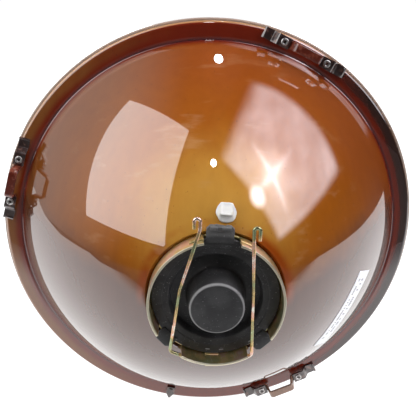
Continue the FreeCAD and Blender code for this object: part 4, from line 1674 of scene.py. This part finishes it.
@dataclass
class Lug:
    """One flat lug of the plug."""

    azimuth: float
    width: float
    tip: float
    root: float = 20.3
    corner: float = 1.1
    top: float = 62.5
    underside: float = 61.1
    ragged: float = 0.0

    def build(self) -> bpy.types.Mesh:
        """Cuts the lug.

        Returns:
            The mesh, in place.
        """
        half = self.width / 2
        reach = half - self.corner
        flash = []
        for k in range(-4, 5) if self.ragged else ():
            torn = self.ragged * noise.noise(Vector((k * 0.83, 0.4, 0.0)))
            flash.append(Corner(self.tip + torn, reach * k / 5, 0.2))
        outline = rounded([
            Corner(self.root, -half), Corner(self.tip - self.corner, -half, 0.3),
            Corner(self.tip, -reach, 0.4), *flash, Corner(self.tip, reach, 0.4),
            Corner(self.tip - self.corner, half, 0.3), Corner(self.root, half)], closed=True, steps=3)
        blade = softened(plate("lug", outline, self.underside, self.top), 0.22, 3)
        return moved(blade, round_axis(self.azimuth))


class Horn(NamedTuple):
    """A raised stub on the wide lug: its sides in half widths, its height and its depth from the tip."""

    low: float
    high: float
    height: float
    depth: float


@dataclass
class BlankingPlug:
    """The moulded plug that closes the bulb opening: boss, channel, flange, skirt and three lugs.

    Radii and heights are named for the feature that they belong to. A nib is placed by its radius
    and azimuth, and nib_half is half its size along and across the radius.
    """

    boss: float = 9.1
    boss_foot: float = 9.9
    boss_top: float = 69.8
    channel: float = 16.0
    channel_floor: float = 58.2
    flange: float = 21.8
    flange_top: float = 62.0
    flange_front: float = 60.5
    skirt: float = 18.5
    skirt_end: float = 56.4
    wall: float = 1.6
    flange_step: float = 0.22
    lugs: tuple[Lug, ...] = (
        Lug(92.6, 9.2, 26.2, ragged=0.9), Lug(318.5, 6.6, 25.3), Lug(226.5, 7.0, 25.6))
    horns: tuple[Horn, ...] = (
        Horn(-1.0, -0.3, 1.0, 1.3), Horn(0.12, 1.0, 1.2, 1.1), Horn(-0.36, 0.2, 0.55, 1.8))
    nib_places: tuple[Pair, ...] = ((20.3, 264.0), (20.1, 277.5))
    nib_half: Pair = (0.2, 0.75)
    nib_height: float = 0.22
    finish: BlackMoulding = field(default_factory=BlackMoulding)

    def outline(self) -> list[Vector]:
        """Follows the turned shape.

        Returns:
            (radius, height) points, closed on the axis.
        """
        ledge = self.flange_top - self.flange_step
        return rounded([
            Corner(0.0, self.boss_top), Corner(self.boss, self.boss_top, 0.85),
            Corner(self.boss_foot, self.channel_floor, 1.2),
            Corner(self.channel - 0.5, self.channel_floor, 0.7),
            Corner(self.channel, ledge, 0.5), Corner(self.channel + 2.1, ledge, 0.2),
            Corner(self.channel + 2.4, self.flange_top, 0.2), Corner(self.flange, self.flange_top, 0.35),
            Corner(self.flange, self.flange_front, 0.25), Corner(self.skirt, self.flange_front, 0.2),
            Corner(self.skirt, self.skirt_end, 0.4), Corner(self.channel, self.skirt_end, 0.2),
            Corner(self.channel, self.channel_floor - self.wall, 0.1),
            Corner(self.boss_foot - self.wall, self.channel_floor - self.wall, 0.5),
            Corner(self.boss - self.wall, self.boss_top - self.wall, 0.4),
            Corner(0.0, self.boss_top - self.wall)], closed=True, steps=5)

    @staticmethod
    def block(name: str, along: Pair, across: Pair, heights: Pair, bevel: float, steps: int,
              azimuth: float) -> bpy.types.Mesh:
        """Makes a small rounded block on the plug.

        Args:
            name: the mesh's name.
            along: its ends along the radius.
            across: its sides.
            heights: its underside and top.
            bevel: the radius of its edges.
            steps: how many pieces the bevel has.
            azimuth: where it points.

        Returns:
            The mesh, in place.
        """
        outline = [Vector((along[0], across[0], 0)), Vector((along[1], across[0], 0)),
                   Vector((along[1], across[1], 0)), Vector((along[0], across[1], 0))]
        return moved(softened(plate(name, outline, *heights), bevel, steps), round_axis(azimuth))

    def turned_up_end(self) -> list[bpy.types.Mesh]:
        """Makes the raised end of the wide lug: two horns and a small stub between them.

        Returns:
            Their meshes.
        """
        lug = self.lugs[0]
        half = lug.width / 2 - lug.corner
        return [self.block("lug_end", (lug.tip - horn.depth, lug.tip - 0.05),
                           (half * horn.low, half * horn.high), (lug.top - 0.3, lug.top + horn.height),
                           0.25, 3, lug.azimuth) for horn in self.horns]

    def nibs(self) -> list[bpy.types.Mesh]:
        """Makes two small moulding nibs near the flange's edge.

        Returns:
            Their meshes.
        """
        deep, wide = self.nib_half
        return [self.block("nib", (radius - deep, radius + deep), (-wide, wide),
                           (self.flange_top - 0.2, self.flange_top + self.nib_height), 0.1, 2, azimuth)
                for radius, azimuth in self.nib_places]

    def build(self) -> None:
        """Joins the plug's features into one moulding."""
        parts = [turned("plug", self.outline(), 192)]
        parts += [lug.build() for lug in self.lugs]
        parts += self.turned_up_end() + self.nibs()
        piece("blanking_plug", joined("blanking_plug", parts), self.finish.build(), Body.PLUG,
              ["dust_plug"])


@dataclass
class VentPlug:
    """The small plug in the dome above the collar: a squarish cap on a round skirt.

    Attributes:
        lean: how far it leans for each millimetre of height.
        unlevel: the heights between which it leans, and the one that stays in place.
        uneven: how uneven the skirt and the cap are.
    """

    radius: float = 29.7
    azimuth: float = 95.9
    skirt: float = 3.35
    cap: float = 2.15
    lean: float = 0.85
    unlevel: Colour = (0.45, 1.6, 1.1)
    uneven: Pair = (0.12, 0.04)
    segments: int = 96
    dome: Dome = field(default_factory=Dome)
    finish: MilkyPlastic = field(default_factory=MilkyPlastic)

    def ring(self, size: float, height: float, squareness: float) -> list[Vector]:
        """Makes one ring between a circle and a rounded square, slightly uneven.

        Args:
            size: the ring's radius.
            height: its height.
            squareness: 0 for a circle, 1 for a rounded square.

        Returns:
            Its points.
        """
        power = 2.0 + squareness * 5.0
        low, high, still = self.unlevel
        leant = self.lean * (min(max(height, low), high) - still)
        uneven = self.uneven[squareness > 0.6]
        found = []
        for k in range(self.segments):
            angle = math.tau * k / self.segments
            c, s = math.cos(angle), math.sin(angle)
            reach = size / (abs(c) ** power + abs(s) ** power) ** (1 / power)
            reach *= 1 + uneven * noise.noise(Vector((c * 1.5 + 2.0, 0.4, s * 1.5)))
            found.append(Vector((c * reach - leant * 0.2, height, s * reach - leant)))
        return found

    def build(self) -> None:
        """Lofts the rings and seats the plug on the dome."""
        skirt, cap = self.skirt, self.cap
        levels = ((1.55, -2.4, 0.0), (1.6, -0.2, 0.0), (3.2, -0.15, 0.0), (skirt, 0.1, 0.0),
                  (skirt, 0.45, 0.0), (3.2, 0.75, 0.05), (2.9, 0.95, 0.2), (cap * 1.18, 1.2, 0.7),
                  (cap * 1.06, 1.6, 1.0), (cap, 2.2, 1.0), (cap * 0.97, 2.5, 1.0),
                  (cap * 0.90, 2.6, 1.0), (cap * 0.82, 2.59, 1.0), (cap * 0.74, 2.54, 0.9),
                  (cap * 0.5, 2.51, 0.8), (cap * 0.2, 2.50, 0.4))
        points = [spot for level in levels for spot in self.ring(*level)]
        n = self.segments
        faces: list[list[int]] = [list(range(n)), list(range(len(points) - n, len(points)))]
        for k in range(len(levels) - 1):
            for i in range(n):
                j = (i + 1) % n
                faces.append([k * n + i, k * n + j, (k + 1) * n + j, (k + 1) * n + i])
        a = math.radians(self.azimuth)
        out = self.dome.normal(self.radius)
        outward = Vector((math.cos(a), 0.0, math.sin(a)))
        up = outward * out.x + Vector((0.0, out.y, 0.0))
        tangent = Vector((-outward.z, 0.0, outward.x))
        seat = Matrix((tangent, up, tangent.cross(up))).transposed().to_4x4()
        seat.translation = self.dome.point(self.radius * outward.x, self.radius * outward.z) * MM
        mesh = moved(mesh_from("vent_plug", points, faces), seat)
        piece("vent_cap", mesh, self.finish.build(), Body.LAMP, ["vent_plug"])


@dataclass
class PaperLabel:
    """A strip of printed paper glued on the dome.

    Attributes:
        turn: how far it is turned from the tangent.
        lifted: how far its loose corner stands off.
        lift_from: where along the strip that starts.
    """

    radius: float = 56.9
    azimuth: float = 202.2
    turn: float = 7.2
    length: float = 35.4
    width: float = 7.5
    paper: float = 0.12
    glue: float = 0.03
    lifted: float = 0.175
    lift_from: float = 0.93
    columns: int = 120
    rows: int = 24
    dome: Dome = field(default_factory=Dome)
    finish: PrintedPaper = field(default_factory=PrintedPaper)

    def spot(self, u: float, v: float, side: float) -> Vector:
        """Finds a point of the strip on the dome.

        Args:
            u: along the strip, from 0 to 1.
            v: across it, from 0 to 1.
            side: how far this side of the paper is off the dome.

        Returns:
            The point.
        """
        a = math.radians(self.azimuth)
        b = math.radians(self.azimuth + self.turn)
        middle = Vector((self.radius * math.cos(a), self.radius * math.sin(a)))
        across = Vector((math.cos(b), math.sin(b))) * ((v - 0.5) * self.width)
        along = Vector((-math.sin(b), math.cos(b))) * ((u - 0.5) * self.length)
        loose = max(0.0, u - self.lift_from) / (1 - self.lift_from) * max(0.0, v - 0.5) * 2
        place = middle + along + across
        return self.dome.point(place.x, place.y, side + self.lifted * loose)

    def build(self) -> None:
        """Lays the strip over the dome, with one corner a little lifted."""
        flat = [(i / self.columns, k / self.rows)
                for i in range(self.columns + 1) for k in range(self.rows + 1)]
        points = [self.spot(u, v, side) for side in (self.glue, self.glue + self.paper) for u, v in flat]
        n = self.rows + 1
        layer = len(flat)
        faces = []
        for i in range(self.columns):
            for k in range(self.rows):
                a = i * n + k
                faces.append([a, a + 1, a + n + 1, a + n])
                faces.append([layer + a, layer + a + n, layer + a + n + 1, layer + a + 1])
        edge = list(range(n)) + [i * n + n - 1 for i in range(1, self.columns + 1)]
        edge += [self.columns * n + k for k in range(n - 2, -1, -1)]
        edge += [i * n for i in range(self.columns - 1, 0, -1)]
        for first, second in zip(edge, edge[1:] + edge[:1]):
            faces.append([first, second, layer + second, layer + first])
        mesh = bare_mesh("label", points, faces)
        print_map = mesh.uv_layers.new(name="strip")
        for loop in mesh.loops:
            print_map.data[loop.index].uv = flat[loop.vertex_index % layer]
        piece("paper_strip", facing_out(mesh), self.finish.build(), Body.LAMP, ["label"])


@dataclass
class LocatingTab:
    """The small pointed tab on the band."""

    azimuth: float = 282.3
    inner: float = 82.2
    outer: float = 88.6
    width: float = 3.8
    point: float = 2.9
    low: float = 2.3
    high: float = 4.2
    finish: DarkClipSteel = field(default_factory=DarkClipSteel)

    def build(self) -> None:
        """Joins a bevelled plate and a raised spine."""
        half = self.width / 2
        outline = rounded([Corner(self.inner, -half, 0.4), Corner(self.outer - self.point, -half, 0.5),
                           Corner(self.outer, 0.0, 0.4), Corner(self.outer - self.point, half, 0.5),
                           Corner(self.inner, half, 0.4)], closed=True, steps=3)
        blade = softened(plate("tab", outline, self.low, self.high - 0.5), 0.3, 3)
        wedge = [Vector((self.inner + 0.6, -0.8, 0)), Vector((self.outer - 2.0, -0.6, 0)),
                 Vector((self.outer - 2.0, 0.6, 0)), Vector((self.inner + 0.6, 0.8, 0))]
        spine = softened(plate("tab_spine", wedge, self.high - 0.9, self.high), 0.3, 3)
        mesh = moved(joined("locating_tab", [blade, spine]), round_axis(self.azimuth))
        piece("band_tab", mesh, self.finish.build(), Body.LAMP, ["locating_tab"])


@dataclass
class StrapBrackets:
    """Three alike brackets on the band: a lacquered strap, two Z-bent clips and two tubular rivets each.

    Attributes:
        span: half the length of a strap's crosspiece.
        lean: how far its legs lean outwards.
        clip_foot: where its foot starts and ends.
        clip_ledge: where its ledge starts and ends.
        clip_roll: how high its end is rolled.
        rivet_base: the height of its tail.
    """

    azimuths: dict[str, float] = field(
        default_factory=lambda: {"one": 115.5, "two": 16.7, "three": 245.8})
    radius: float = 84.6
    strap_sheet: float = 1.0
    strap_width: float = 3.4
    span: float = 5.4
    lean: float = 0.9
    strap_end: float = 11.4
    strap_low: float = 4.7
    strap_high: float = 11.1
    clip_sheet: float = 0.8
    clip_width: float = 4.3
    clip_tip: float = 17.9
    clip_foot: Pair = (17.45, 14.0)
    clip_ledge: Pair = (12.1, 7.0)
    clip_roll: float = 0.75
    clip_low: float = 2.72
    clip_high: float = 5.6
    rivet_offset: float = 9.4
    rivet_base: float = 3.6
    ledge: float = 6.0
    bore: float = 0.62
    tube: float = 0.95
    head: float = 1.6
    tail: float = 1.4

    def to_bracket(self, azimuth: float) -> Matrix:
        """Carries local X along the tangent, Y along the height and Z along the radius to a bracket.

        Args:
            azimuth: where the bracket sits.

        Returns:
            The matrix.
        """
        a = math.radians(azimuth)
        tangent = Vector((math.sin(a), 0.0, -math.cos(a)))
        outward = Vector((math.cos(a), 0.0, math.sin(a)))
        seat = Matrix((tangent, Vector((0.0, 1.0, 0.0)), outward)).transposed().to_4x4()
        seat.translation = outward * self.radius * MM
        return seat

    def strap(self) -> bpy.types.Mesh:
        """Bends the bridge: a crosspiece on two leaning legs, with a flange at each end.

        Returns:
            The mesh.
        """
        path = rounded([
            Corner(-self.strap_end, self.strap_low), Corner(-self.span - self.lean, self.strap_low, 0.9),
            Corner(-self.span, self.strap_high, 1.3), Corner(self.span, self.strap_high, 1.3),
            Corner(self.span + self.lean, self.strap_low, 0.9),
            Corner(self.strap_end, self.strap_low)], steps=6)
        return softened(sheet_strip("strap", path, self.strap_sheet, self.strap_width), 0.3, 3, SHEET_ANGLE)

    def clip(self, sign: float) -> bpy.types.Mesh:
        """Bends one clip: rolled end, foot, slope and ledge.

        Args:
            sign: 1 for the one along the tangent, -1 for the one against it.

        Returns:
            The mesh.
        """
        path = rounded([
            Corner(self.clip_tip, self.clip_low + self.clip_roll),
            Corner(self.clip_foot[0], self.clip_low, 0.4),
            Corner(self.clip_foot[1], self.clip_low, 0.8), Corner(self.clip_ledge[0], self.clip_high, 0.8),
            Corner(self.clip_ledge[1], self.clip_high)], steps=6)
        bent = [Vector((sign * p.x, p.y, 0.0)) for p in path]
        return softened(sheet_strip("clip", bent, self.clip_sheet, self.clip_width), 0.22, 3, SHEET_ANGLE)

    def eyelet(self) -> bpy.types.Mesh:
        """Turns a tubular rivet with a rolled head, standing on its tail.

        Returns:
            The mesh.
        """
        rise = self.ledge - self.rivet_base
        outline = rounded([
            Corner(self.bore, 0.3, 0.1), Corner(self.bore, rise + 0.1, 0.3),
            Corner(0.85, rise + 0.5, 0.22), Corner(1.35, rise + 0.5, 0.3),
            Corner(self.head, rise + 0.02, 0.15), Corner(self.tube, rise - 0.05),
            Corner(self.tube, 0.6), Corner(self.tail, 0.55, 0.15), Corner(self.tail, 0.0, 0.2),
            Corner(0.0, 0.0), Corner(0.0, 0.3)], closed=True, steps=4)
        return smooth(turned("eyelet", outline, 40))

    def rivets(self) -> None:
        """Sets all six rivets with Geometry Nodes, as one piece for the three nodes."""
        spots = []
        for azimuth in self.azimuths.values():
            seat = self.to_bracket(azimuth)
            for side in (1, -1):
                spots.append(seat @ Vector((side * self.rivet_offset * MM, self.rivet_base * MM, 0.0)))
        cloud = bpy.data.meshes.new("rivet_spots")
        cloud.from_pydata([tuple(s) for s in spots], [], [])
        pattern = placed("eyelet_pattern", self.eyelet())
        recipe = Recipe("rivets_on_spots")
        scale = recipe.size("Rivet Scale", 1.0)
        where = recipe.geometry()
        shape = recipe.node("GeometryNodeObjectInfo", {"transform_space": "ORIGINAL"}, {"Object": pattern},
                            output="Geometry")
        points = recipe.node("GeometryNodeMeshToPoints", {}, {0: where})
        turn = recipe.node("FunctionNodeRandomValue", {"data_type": "FLOAT"}, {
            2: 0.0, 3: math.tau, "Seed": 7}, output=1)
        spin = recipe.node("ShaderNodeCombineXYZ", {}, {1: turn})
        rotation = recipe.node("FunctionNodeEulerToRotation", {}, {0: spin})
        set_out = recipe.node("GeometryNodeInstanceOnPoints", {}, {
            "Points": points, "Instance": shape, "Rotation": rotation, "Scale": scale})
        material = BrightZinc("bracket_rivet_zinc").build()
        mesh = recipe.run(placed("rivet_spots", cloud), set_out, material)
        bpy.data.objects.remove(pattern)
        piece("strap_eyelets", mesh, material, Body.LAMP,
              ["bracket_rivets_" + which for which in self.azimuths])

    def build(self) -> None:
        """Places every strap and clip, and sets the rivets."""
        lacquer = StrapLacquer().build()
        dark = DarkClipSteel("clip_steel").build()
        for which, azimuth in self.azimuths.items():
            seat = self.to_bracket(azimuth)
            piece("bridge_" + which, moved(self.strap(), seat), lacquer, Body.LAMP,
                  ["strap_" + which])
            for side, sign in (("a", 1.0), ("b", -1.0)):
                piece("clip_%s_%s" % (which, side), moved(self.clip(sign), seat), dark, Body.LAMP,
                      ["end_clip_%s_%s" % (which, side)])
        self.rivets()


# ---- studio ---------------------------------------------------------------------------------


@dataclass(frozen=True)
class PanelLight:
    """A rectangular or round lamp of the studio. Places are in metres.

    Attributes:
        width_way: the direction of its width.
        radiance: how bright its face is.
        mirrored: whether it shows in glossy surfaces.
        round: whether it is a disc.
        creased: whether it is a cloth panel with two creases.
        crossing: where the creases cross, from -1 to 1 across and up.
        slants: how far the creases lean.
        lamp_head: where a bare lamp shows through, from -1 to 1 across and up.
        margin: how much larger the cloth is than its lit part.
    """

    name: str
    centre: Colour
    width_way: Colour
    height_way: Colour
    width: float
    height: float
    radiance: float
    tint: Colour = (1.0, 1.0, 1.0)
    mirrored: bool = True
    round: bool = False
    creased: bool = False
    crossing: tuple[float, float] = (0.16, -0.40)
    slants: tuple[float, float] = (0.08, 0.28)
    lamp_head: tuple[float, float] = (0.17, -0.92)
    margin: float = 1.3

    def frame_of(self) -> Matrix:
        """Finds where it stands, with its back along local +Z.

        Returns:
            The matrix.
        """
        x_way = Vector(self.width_way).normalized()
        y_way = Vector(self.height_way)
        y_way = (y_way - x_way * y_way.dot(x_way)).normalized()
        away = x_way.cross(y_way)
        if away.dot(Vector(self.centre)) < 0:
            x_way, away = -x_way, -away
        turn = Matrix((x_way, y_way, away)).transposed().to_4x4()
        return Matrix.Translation(Vector(self.centre)) @ turn

    def diffuser(self) -> None:
        """A soft box whose cloth is creased in a cross and brighter at its lamp."""
        look = Look(self.name)
        x, y, _ = look.axes()
        u = x * (2 * MM / self.width)
        v = y * (2 * MM / self.height)
        along = u - self.crossing[0]
        up = v - self.crossing[1]
        steep = along - up * self.slants[0]
        level = up + along * self.slants[1]
        ridge = (abs(steep).maths("MINIMUM", abs(level)) * -7.5 + 1.0).clamped() ** 2.0
        core = (1.0 - (along * along + up * up) ** 0.5 * 1.5).clamped()
        clouds = look.mottle(150.0, 3.0)
        fade = (1.05 + u).ramp(0.0, 0.5) * (1.04 - u).ramp(0.0, 0.16) * (1.05 - abs(v)).ramp(0.0, 0.22)
        base = 0.86 + (clouds - 0.5) * 1.0 - v * 0.08
        below = v - self.lamp_head[1]
        beside = u - self.lamp_head[0]
        head = (1.0 - (below * below + beside * beside) ** 0.5 * 4.4).clamped() ** 1.3
        shine = ((base + ridge * core * 1.5 + core ** 3.0 * 1.2) * fade + head * 5.0) * self.radiance
        glow = look.node("ShaderNodeVectorMath", {"operation": "SCALE"}, {0: self.tint, 3: shine})
        white = look.node("ShaderNodeEmission", {}, {"Color": glow, "Strength": 1.0})
        look.node("ShaderNodeOutputMaterial", {}, {"Surface": white})
        half_w, half_h = self.width * self.margin / 2, self.height * self.margin / 2
        mesh = bpy.data.meshes.new(self.name)
        corners = [(-half_w, -half_h, 0), (half_w, -half_h, 0), (half_w, half_h, 0), (-half_w, half_h, 0)]
        mesh.from_pydata(corners, [], [[0, 1, 2, 3]])
        mesh.materials.append(look.material)
        obj = placed(self.name, mesh)
        obj.matrix_world = self.frame_of()
        obj.visible_camera = False

    def build(self) -> None:
        """Makes the light and aims it at the lamp."""
        if self.creased:
            self.diffuser()
            return
        data = bpy.data.lights.new(self.name, "AREA")
        data.shape = "ELLIPSE" if self.round else "RECTANGLE"
        data.size = self.width
        data.size_y = self.height
        area = self.width * self.height * (math.pi / 4 if self.round else 1.0)
        data.energy = self.radiance * math.pi * area
        data.color = self.tint
        obj = bpy.data.objects.new(self.name, data)
        obj.matrix_world = self.frame_of()
        obj.visible_camera = False
        obj.visible_glossy = self.mirrored
        bpy.context.scene.collection.objects.link(obj)


@dataclass
class Studio:
    """A white light table over a pale floor, soft boxes and the camera. Places are in metres.

    Attributes:
        floor_drop: how far the floor is below the table.
        seen_tone: how bright it is to the camera.
        wall_spread: the cosines between which it fades in.
    """

    table: Outline = (
        (-0.45, 0.19), (-0.56, 0.14), (-0.58, 0.06), (-0.56, -0.14), (-0.60, -0.26), (-0.68, -0.38),
        (-0.85, -0.55), (-3.0, -2.2), (-3.0, -7.0), (3.0, -7.0), (3.0, -2.2), (0.96, -0.50),
        (0.57, -0.21), (0.47, -0.09), (0.47, 0.05), (0.40, 0.09), (0.33, 0.19))
    floor_reach: float = 4.0
    floor_drop: float = 0.72
    room_tone: float = 0.025
    seen_tone: float = 1.02
    wall_glow: float = 0.64
    wall_way: Colour = (0.83, -0.40, 0.40)
    wall_spread: Pair = (0.55, 1.02)
    lens: float = 48.46
    sensor: float = 36.0
    camera_place: Colour = (0.00931, 0.23001, 0.09169)
    camera_way: Colour = (-0.03507, -0.94212, -0.33344)
    camera_roll: float = 0.7
    lights: tuple[PanelLight, ...] = (
        PanelLight("soft_box_left", (0.470, 0.104, 0.508), (-0.784, 0.615, 0.078),
                   (-0.095, -0.244, 0.965), 0.591, 0.879, 2.9),
        PanelLight("soft_box_right", (-0.417, 0.126, 0.551), (0.519, -0.087, 0.85),
                   (-0.419, -0.893, 0.164), 0.861, 0.622, 3.85, (1.0, 0.97, 1.04), creased=True),
        PanelLight("window_behind", (-0.64, -0.53, 0.84), (0.64, -0.77, 0.0), (0.4, 0.3, 0.86),
                   0.06, 0.40, 4.0),
        PanelLight("bulb_high", (-0.059, -0.193, 0.741), (1.0, 0.0, 0.0), (0.0, 0.95, 0.3),
                   0.046, 0.040, 50.0, round=True),
        PanelLight("bulb_low", (-0.014, 0.330, 0.684), (1.0, 0.0, 0.0), (0.0, 0.9, -0.4),
                   0.048, 0.048, 42.0, round=True),
        PanelLight("overhead", (0.0, -0.45, 1.25), (1.0, 0.0, 0.0), (0.0, 1.0, 0.0),
                   1.6, 1.3, 3.0, mirrored=False),
        PanelLight("rear_fill", (0.0, 1.4, 0.5), (1.0, 0.0, 0.0), (0.0, -0.3, 0.9),
                   1.2, 0.8, 0.35, mirrored=False),
    )

    def sheet(self, name: str, outline: Outline, level: float,
              material: bpy.types.Material) -> bpy.types.Object:
        """Lays a flat sheet of the studio.

        Args:
            name: its name.
            outline: its (x, y) corners in metres.
            level: its height in metres.
            material: what it is made of.

        Returns:
            The object.
        """
        mesh = bpy.data.meshes.new(name)
        mesh.from_pydata([(x, y, level) for x, y in outline], [], [list(range(len(outline)))])
        mesh.materials.append(material)
        made = placed(name, mesh)
        return made

    def build_stage(self) -> None:
        """The table, wide behind the lamp and narrow beside it, and the floor far below."""
        level = CAD_BOX[0][2]
        white = StudioPaint("white_table", 0.25, 1.0, 1.6).build()
        pale = StudioPaint("pale_floor", 0.75).build()
        self.sheet("table", self.table, level, white)
        reach = self.floor_reach
        corners = ((-reach, -reach), (reach, -reach), (reach, reach), (-reach, reach))
        self.sheet("floor", corners, level - self.floor_drop, pale).visible_camera = False

    def build_world(self) -> None:
        """A dim room with a soft pale wall on one side."""
        world = bpy.data.worlds.new("studio")
        bpy.context.scene.world = world
        world.use_nodes = True
        sky = Graph(world.node_tree)
        way = sky.node("ShaderNodeTexCoord", output="Generated")
        aim = tuple(Vector(self.wall_way).normalized())
        toward = sky.node("ShaderNodeVectorMath", {"operation": "DOT_PRODUCT"}, {0: way, 1: aim},
                          output="Value")
        glow = toward.ramp(*self.wall_spread) * self.wall_glow + self.room_tone
        seen = sky.node("ShaderNodeLightPath", output="Is Camera Ray")
        strength = glow.maths("MAXIMUM", seen * self.seen_tone)
        light = sky.node("ShaderNodeBackground", {}, {"Color": (1.0, 1.0, 1.0, 1.0), "Strength": strength})
        sky.node("ShaderNodeOutputWorld", {}, {"Surface": light})

    def build_camera(self) -> None:
        """The camera, behind the lamp and a little above it."""
        data = bpy.data.cameras.new("camera")
        data.lens = self.lens
        data.sensor_width = self.sensor
        data.clip_start = 0.01
        data.clip_end = 20.0
        obj = bpy.data.objects.new("camera", data)
        turn = Vector(self.camera_way).to_track_quat("-Z", "Y").to_matrix().to_4x4()
        obj.matrix_world = (Matrix.Translation(self.camera_place) @ turn
                            @ Matrix.Rotation(math.radians(self.camera_roll), 4, "Z"))
        bpy.context.scene.collection.objects.link(obj)
        bpy.context.scene.camera = obj

    def build(self) -> None:
        """Sets up everything that isn't the object."""
        self.build_stage()
        self.build_world()
        for light in self.lights:
            light.build()
        self.build_camera()
        bpy.context.scene.view_settings.view_transform = "Standard"


def main() -> None:
    """Builds the studio and then every part of the lamp."""
    logging.basicConfig(level=logging.INFO, format="%(name)s: %(message)s")
    Studio().build()
    LensGlass().build()
    BondingSeal().build()
    ReflectorShell().build()
    BulbCollar().build()
    BailWire().build()
    BlankingPlug().build()
    VentPlug().build()
    PaperLabel().build()
    LocatingTab().build()
    StrapBrackets().build()


if __name__ == "__main__":
    main()
